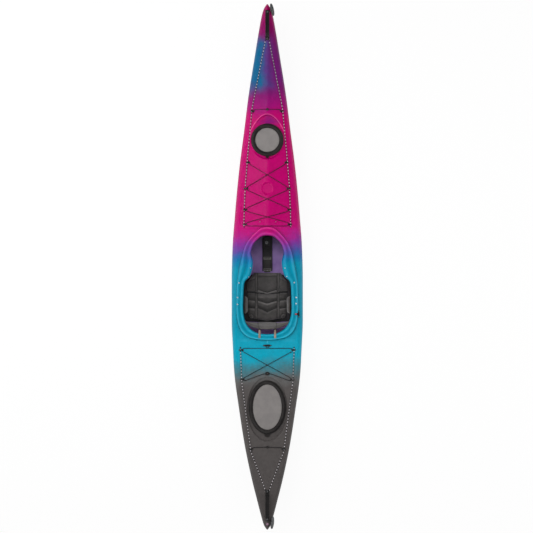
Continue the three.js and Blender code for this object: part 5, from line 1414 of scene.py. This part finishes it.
def swollen(piece):
    """Where a short cloth run under pressure takes each point."""
    cloth = piece.modifiers.new("swell", "CLOTH")
    for key, value in CLOTH_SETTINGS.items():
        setattr(cloth.settings, key, value)
    cloth.settings.effector_weights.gravity = 0
    cloth.point_cache.frame_start = 1
    cloth.point_cache.frame_end = CLOTH_FRAMES
    for frame_now in range(1, CLOTH_FRAMES + 1):
        bpy.context.scene.frame_set(frame_now)
    depsgraph = bpy.context.evaluated_depsgraph_get()
    places = coords(piece.evaluated_get(depsgraph).data)
    piece.modifiers.clear()
    bpy.context.scene.frame_set(1)
    return places


def cushion(name, mesh, body, material, voxel=0.0055, cap=0.008, low=None, sewn=None):
    """A cover swollen from a pad's shape by a short cloth run, then sewn down along its seams."""
    piece = shown(name, mesh)
    worked(piece, "REMESH", mode="VOXEL", voxel_size=voxel)
    worked(piece, "SMOOTH", iterations=2, factor=0.6)
    facing = normals(piece.data)
    inset = cap * 0.25
    start = coords(piece.data) - facing * inset
    set_coords(piece.data, start)
    move = swollen(piece) - start
    # It swells upwards, and keeps to the room beside its neighbours
    aside = facing * (1, 1, 0)
    aside /= np.maximum(np.linalg.norm(aside, axis=1, keepdims=True), 1e-6)
    outwards = (move * aside).sum(axis=1, keepdims=True)
    move += aside * (np.clip(outwards, -0.0012, inset) - outwards)
    reach = np.linalg.norm(move, axis=1, keepdims=True)
    move *= np.minimum(1, cap / np.maximum(reach, 1e-9))
    set_coords(piece.data, start + move)
    worked(piece, "SUBSURF", levels=1, render_levels=1)
    places = coords(piece.data)
    # The seams also give the painted light: painted highlights on the rolls, painted shade in the seams
    if sewn:
        places, painted_light = sewn(places, normals(piece.data))
        store_painted_light(piece, painted_light)
    if low is not None:
        places[:, 2] = np.maximum(places[:, 2], low)
    set_coords(piece.data, places)
    piece.data.materials.clear()
    piece.data.materials.append(material)
    piece.data.shade_smooth()
    finish_piece(piece, body, [name])


def dip(distance, width, depth):
    return depth * np.exp(-(distance / width) ** 2)


def chevron(x, y, corner, tip, half=0.083):
    """Distance along the hull to a V seam whose tip points aft on the middle line."""
    line = corner + (tip - corner) * (1 - np.minimum(np.abs(x) / half, 1))
    return y - line


def pressed(places, turned, depth, painted_light):
    """Lowers the upper faces by a depth that is given for each point, and keeps the painted light (painted
    highlight and shade) to them.
    """
    share = np.clip((turned[:, 2] - 0.1) / 0.4, 0, 1)
    out = places.copy()
    out[:, 2] -= depth * share
    return out, painted_light * share


def channels(x):
    """The two sewn channels that run along the seat on each side: depth, and painted light with painted shade
    in the seam lines and a painted highlight between them.
    """
    side = np.abs(x)
    lines = dip(side - 0.083, 0.003, 1) + dip(side - 0.103, 0.003, 1)
    return lines * 0.0062 + dip(side - 0.093, 0.014, 0.003), dip(side - 0.093, 0.004, 0.3) - lines * 0.75


def roll(distance, reach, height):
    """A soft ridge that starts at a seam and falls away aft of it."""
    t = np.clip(-distance / reach, 0, 1)
    return height * np.sin(np.pi * t ** 0.6) ** 2 * (distance < 0)


def seam(total, where, depth, painted_light):
    """Adds a seam's depth and painted light to the running totals, where it applies."""
    total[0] += np.where(where, depth, 0)
    total[1] += np.where(where, painted_light, 0)


def sewn_roll(total, where, gap, ridge, dark):
    """One seam with the roll behind it: painted shade in the seam and aft of the roll, a painted highlight on
    the roll.
    """
    depth = dip(gap, 0.0035, 0.009) + dip(gap - 0.008, 0.012, 0.006) - roll(gap, 0.040, 0.007)
    painted_light = dip(gap + 0.011, 0.007, ridge) - dip(gap, 0.0045, 1.0) - dip(gap - 0.014, 0.012, dark)
    seam(total, where, depth, painted_light)


def seat_pad_seams(places, turned):
    x, y = places[:, 0], places[:, 1]
    side = np.abs(x)
    middle, wings = side < 0.080, side > 0.106
    total = list(channels(x))
    sewn_roll(total, middle, chevron(x, y, -0.281, -0.306), 0.75, 0.5)
    sewn_roll(total, middle, chevron(x, y, -0.343, -0.380), 0.2, 0.75)
    seam(total, middle & (y > -0.262), 0, 0.25)
    for corner, ridge, dark in ((-0.283, 0.6, 0.5), (-0.350, 0.35, 0.6)):
        sewn_roll(total, wings, y - (corner + (side - 0.1) * 0.12), ridge, dark)
    # A vent hole and a round pad on each side, with painted shade in the hole and round the pad and a painted
    # highlight on the pad
    away = np.hypot(side - 0.047, y + 0.2846)
    seam(total, True, dip(away, 0.005, 0.006), -dip(away, 0.0055, 1.0))
    away = np.hypot(side - 0.137, y + 0.418)
    dome = np.where(away < 0.022, 0.003 * np.cos(away / 0.022 * np.pi / 2), 0)
    painted_light = dip(away - 0.014, 0.005, 0.4) - dip(away - 0.0235, 0.0035, 0.8)
    seam(total, True, dip(away - 0.023, 0.003, 0.007) - dome, painted_light)
    return pressed(places, turned, *total)


def lifter_seams(places, turned):
    x, y = places[:, 0], places[:, 1]
    side = np.abs(x)
    middle, wings = side < 0.080, side > 0.106
    # Painted shade in each seam, and a painted highlight beside it
    total = list(channels(x))
    gap = y + 0.0775
    depth = dip(gap, 0.003, 0.006) + dip(gap + 0.006, 0.012, 0.002)
    seam(total, middle, depth, dip(gap - 0.012, 0.010, 0.4) - dip(gap, 0.0035, 0.9))
    gap = chevron(x, y, -0.186, -0.213)
    painted_light = dip(gap + 0.013, 0.0075, 0.8) - dip(gap, 0.0045, 1.0) - dip(gap - 0.012, 0.012, 0.25)
    seam(total, middle, dip(gap, 0.0035, 0.008) - dip(gap + 0.014, 0.009, 0.003), painted_light)
    gap = y + 0.206
    painted_light = dip(gap + 0.014, 0.0075, 0.7) - dip(gap, 0.0045, 0.9)
    seam(total, wings, dip(gap, 0.0035, 0.007) - dip(gap + 0.014, 0.009, 0.003), painted_light)
    gap = y - (-0.098 - (side - 0.1) * 0.45)
    seam(total, wings, dip(gap, 0.003, 0.005), dip(gap - 0.012, 0.008, 0.35) - dip(gap, 0.0035, 0.5))
    return pressed(places, turned, *total)


for pad, body, seams in (("seat_pad", "hull", seat_pad_seams), ("leg_lifter", "thigh_cushion", lifter_seams)):
    cushion(pad, nodes[pad].data.copy(), body, seat_cloth, low=SEAT_LOW, sewn=seams)

BAND_LOW, BAND_HIGH, BAND_FRONT, BAND_REAR = 0.094, 0.230, -0.449, -0.498
SKIRT_FRONT, SKIRT_REAR, SKIRT_HALF = -0.440, -0.4675, 0.182


def seat_skirt():
    """The rear edge of the seat pan, run back over the hull's floor to the backband."""
    pan_x, pan_z = (0, 0.094, 0.1557, 0.1696, 0.193), (0.0063, 0.0063, 0.0141, 0.0174, 0.0329)
    rings = []
    for x in np.linspace(-SKIRT_HALF, SKIRT_HALF, 53):
        low = float(np.interp(abs(x), pan_x, pan_z)) + 0.0004
        rear = SKIRT_REAR + 0.010 * (x / SKIRT_HALF) ** 2
        section = [(SKIRT_FRONT, 0), (rear, 0), (rear - 0.001, 0.0016), (rear, 0.003), (SKIRT_FRONT, 0.003)]
        rings.append([(x, y, low + up) for y, up in section])
    made("seat_pan_skirt", *loft(rings), "hull", "black_plastic", nylon)


def backband_shape():
    """A band bowed round the back, thin and low at its ends, its top leaning back."""
    middle = (BAND_LOW + BAND_HIGH) / 2
    rings = []
    for across in np.linspace(-1, 1, 61):
        side = abs(across)
        half_height = (BAND_HIGH - BAND_LOW) / 2 * (1 - 0.38 * max(side - 0.3, 0) ** 1.4 / 0.7 ** 1.4)
        half_thick = 0.0125 * (1 - 0.45 * side ** 3)
        y = BAND_FRONT + (BAND_REAR - BAND_FRONT) * math.sqrt(max(1 - side * side * 0.98, 0))
        lean = 0.022 * (1 - side ** 2) + 0.003
        x, section = across * 0.190, [squared(t, 0.7, 0.5) for t in turns(28)]
        rings.append([(x, y + u * half_thick - v * lean, middle + v * half_height) for u, v in section])
    return mesh_of("backband", *loft(rings))


def backband_seams(places, turned):
    """Two upright seams that part the middle panel from the wings, with painted shade in the seams and a
    faint painted highlight on the middle panel, on the faces that look forward.
    """
    x, z = places[:, 0], places[:, 2]
    seam_x = 0.072 + (BAND_HIGH - z) * 0.10
    depth = dip(np.abs(x) - seam_x, 0.0035, 0.006) - 0.003 * np.exp(-(x / 0.05) ** 2)
    painted_light = 0.12 * (np.abs(x) < seam_x) - dip(np.abs(x) - seam_x, 0.0035, 0.9)
    front = np.clip(turned[:, 1] + turned[:, 2] * 0.6, 0, 1)
    return places - turned * (depth * front)[:, None], painted_light * front


seat_skirt()
band = backband_shape()
cushion("backband", band, "back_support", pale_cloth, cap=0.006, sewn=backband_seams)


def hip_pad_shape(side):
    """A pad against the seat's wing, thicker towards its foot."""
    front, rear, outer = -0.246, -0.394, 0.1955
    rings = []
    for along in np.linspace(0, 1, 33):
        full = min(1, 0.35 + 0.65 * math.sin(min(min(along, 1 - along) / 0.14, 1) * math.pi / 2))
        ring = []
        for t in turns(28):
            u, v = squared(t, 0.7, 0.6)
            thick = (0.020 + 0.016 * (1 - v) / 2) * full
            x = side * (outer - thick * (0.5 - 0.5 * u))
            ring.append((x, front + (rear - front) * along, 0.133 + v * 0.054 * (0.72 + 0.28 * full)))
        rings.append(ring)
    return mesh_of("hip_pad", *loft(rings))


SIDES = ((1, "starboard"), (-1, "port"))
for side, word in SIDES:
    thigh = nodes[f"thigh_pad_{word}"].data.copy()
    cushion(f"hip_pad_{word}", hip_pad_shape(side), "hull", pale_cloth, 0.0045, 0.004)
    cushion(f"thigh_pad_{word}", thigh, "hull", foam, 0.0045, 0.003)


# Straps, buckles and the track

def ladder_lock(width, length, thickness=0.005):
    """A buckle with three bars, its middle at the origin."""
    half, reach, bar = width / 2, length / 2, 0.0022
    parts = []
    for x in (half - bar, bar - half):
        parts.append(rounded_box((x - bar, -reach, -thickness / 2), (x + bar, reach, thickness / 2), 0.0012))
    for place, lift in ((-reach + bar, 0), (-reach * 0.2, 0.0012), (reach - bar, 0)):
        low = (0.001 - half, place - 0.0021, lift - thickness * 0.4)
        high = (half - 0.001, place + 0.0021, lift + thickness * 0.4)
        parts.append(rounded_box(low, high, 0.0012))
    return merged(parts)


def bending_strap(name, path, half_width, thickness, sewn, slot, web, thread):
    """A strap and its stitches that run from the hull to a moving body; they ride on no body."""
    strap = band_along(path, half_width, thickness)
    webbing = made(name, *strap, None, slot, web, 40, [name])
    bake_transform(webbing)
    stitching = made(name + "_stitching", *sewn, None, slot, thread, 40)
    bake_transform(stitching)


def tan_strap(side, word):
    x = side * 0.066
    rim_y = OPENING_CENTRE - OPENING_HALF_LENGTH
    top = rim_height(rim_y) + 0.0016
    knots = [
        (-0.5235, 0.178), (-0.5245, 0.196), (-0.527, 0.212), (-0.534, 0.226), (-0.545, top - 0.012),
        (rim_y + 0.004, top - 0.002), (rim_y - 0.008, top + 0.0003), (rim_y - 0.022, top + 0.0002),
        (rim_y - 0.033, top),
    ]
    path = spline([(x, y, z) for y, z in knots], 60)
    bending_strap(
        f"backband_strap_{word}", path, 0.0085, 0.0022, stitches(path[3:-3], 0.0066, 0.0013), "tan_webbing",
        tan_web, thread_tan,
    )
    place = Matrix.Translation((x, -0.5325, 0.2235)) @ Matrix.Rotation(math.radians(52), 4, "X")
    buckle = moved(ladder_lock(0.026, 0.024), place)
    made(f"backband_buckle_{word}", *buckle, "back_support", "black_plastic", black_plastic)


for side, word in SIDES:
    tan_strap(side, word)

TRACK_LOW = WALL + 0.0003
TRACK_FRONT, TRACK_REAR, TRACK_HALF = 0.268, -0.034, 0.042


def seat_track():
    low, top = TRACK_LOW, TRACK_LOW + 0.0125
    parts = [rounded_box((-TRACK_HALF, TRACK_REAR, low), (TRACK_HALF, TRACK_FRONT, low + 0.008), 0.0012)]
    for x in (0.0375, -0.0375):
        corners = (x - 0.0045, TRACK_REAR, low), (x + 0.0045, TRACK_FRONT, low + 0.014)
        parts.append(rounded_box(*corners, 0.0016, 3))
    # The housing round the front bolt, and the pocket behind it
    parts.append(rounded_box((-0.030, 0.182, low + 0.004), (0.030, 0.262, top), 0.003, 3))
    parts.append(rounded_box((-0.026, 0.136, low + 0.004), (0.026, 0.176, low + 0.0108), 0.003, 3))
    for y in 0.142 + 0.0048 * np.arange(7):
        parts.append(rounded_box((-0.017, y, low + 0.010), (0.017, y + 0.0022, low + 0.0122), 0.0007))
    made("seat_track", *merged(parts), "hull", "black_plastic", black_plastic, 35, ["seat_track"])
    washer = [(0.0045, 0), (0.0138, 0), (0.0138, 0.0012), (0.0130, 0.0018), (0.0060, 0.0019)]
    bolt = [
        (0.002, 0.0015), (0.0068, 0.0015), (0.0068, 0.0034), (0.0058, 0.0048), (0.003, 0.0054),
        (0.001, 0.0054),
    ]
    button = [(0.002, 0), (0.0075, 0), (0.0075, 0.001), (0.0055, 0.0035), (0.001, 0.0042)]
    spot = (-0.006, 0.207, top)
    rear_bolt = lathe(button, 24, (0.0, -0.027, low + 0.0085))
    metal("seat_track_bolts", [lathe(washer, 40, spot), lathe(bolt, 28, spot), rear_bolt], steel)
    socket = lathe([(0.0004, 0.0054), (0.0026, 0.0054), (0.0026, 0.0058), (0.0004, 0.0058)], 6, spot)
    made("seat_track_socket", *socket, "hull", "nylon", nylon)


def lifter_strap():
    low = TRACK_LOW + 0.0093
    knots = (
        (0.096, 0.0016), (0.080, 0.0024), (0.060, 0.0018), (0.02, 0.0016), (-0.01, 0.0026), (-0.03, 0.0018),
        (-0.045, 0.0016),
    )
    path = spline([(0, y, low + z) for y, z in knots], 50)
    bending_strap(
        "leg_lifter_strap", path, 0.0255, 0.0024, stitches(path[2:-2], 0.0225, 0.0014), "black_webbing",
        web_grey, thread_grey,
    )
    for y, body, word in ((0.074, "hull", "front"), (-0.0235, "thigh_cushion", "rear")):
        buckle = moved(ladder_lock(0.064, 0.022, 0.0046), Matrix.Translation((0, y, low + 0.0042)))
        made(f"leg_lifter_buckle_{word}", *buckle, body, "black_plastic", buckle_grey)


seat_track()
lifter_strap()


# Camera, light and floor

def camera():
    scene = bpy.context.scene
    scene.view_settings.view_transform = "Standard"
    scene.camera = shown("camera", bpy.data.cameras.new("camera"))
    distance, deck_height = 60.0, 0.3
    lens = scene.camera.data
    lens.sensor_width = 36
    lens.lens = 36 * (distance - deck_height) / (PHOTO_WIDTH * PHOTO_SCALE)
    lens.clip_start, lens.clip_end = 1, 400
    scene.camera.location = (-0.0067, 0.0042, distance)
    scene.camera.rotation_euler = (0, 0, 0)


def floor():
    """A pale floor that keeps the shadow, and shows white to the eye."""
    look = new_look("floor")
    look.shader.inputs["Base Color"].default_value = (0.86, 0.86, 0.86, 1)
    look.shader.inputs["Roughness"].default_value = 0.9
    kinds = ("Is Camera Ray", "Is Glossy Ray", "Is Transmission Ray")
    eye, glossy, through = [look.node("ShaderNodeLightPath", output=kind) for kind in kinds]
    white = look.node("ShaderNodeEmission", {"Color": WHITE, "Strength": 1.0})
    inputs = {0: (eye + glossy + through).clamped() * 0.93, 1: Flow(look, look.shader.outputs[0]), 2: white}
    look.feed(look.tree.nodes["Material Output"].inputs["Surface"], look.node("ShaderNodeMixShader", inputs))
    reach = 150.0
    mesh = bpy.data.meshes.new("floor")
    corners = [(-reach, -reach, 0), (reach, -reach, 0), (reach, reach, 0), (-reach, reach, 0)]
    mesh.from_pydata(corners, [], [(0, 1, 2, 3)])
    mesh.materials.append(look.holder)
    piece = shown("floor", mesh)
    piece.location.z = -0.001


def world():
    """White to the eye, an even soft light, and in reflections bright low down and dark overhead."""
    bpy.context.scene.world = bpy.data.worlds.new("studio")
    look = Look(bpy.context.scene.world, "Background")
    kinds = ("Is Camera Ray", "Is Glossy Ray", "Is Transmission Ray", "Is Diffuse Ray")
    eye, glossy, through, diffuse = [look.node("ShaderNodeLightPath", output=kind) for kind in kinds]
    x, _, z = look.parts(look.node("ShaderNodeTexCoord", output="Generated"))
    mirrored = ((z * -3.4 + 1.8).clamped() * (x * -0.35 + 0.6) + 0.12) * glossy
    look.feed(look.shader.inputs["Strength"], mirrored + diffuse * 0.5 + (eye + through))
    look.shader.inputs["Color"].default_value = WHITE


def lamp(name, place, target, size, power, mirrored=False):
    """A lamp that lights without showing, or one that shows only in gloss."""
    data = bpy.data.lights.new(name, "AREA")
    data.shape = "RECTANGLE"
    data.size, data.size_y = size
    data.energy = power
    light = shown(name, data)
    light.location = place
    light.rotation_euler = (Vector(target) - Vector(place)).to_track_quat("-Z", "Y").to_euler()
    light.visible_camera = False
    light.visible_glossy = mirrored
    light.visible_diffuse = not mirrored


camera()
floor()
world()
lamp("key", (-3.4, 1.6, 4.0), (0, 0, 0.2), (2.0, 6.0), 170)
lamp("top", (-0.6, 0.5, 6.5), (0, 0, 0.2), (3.0, 6.0), 120)
lamp("fill", (4.5, -0.5, 3.0), (0, 0, 0.2), (2.0, 6.0), 70)
lamp("glint", (-3.6, -6.0, 4.0), (0, -0.3, 0.2), (6.0, 2.0), 160, mirrored=True)
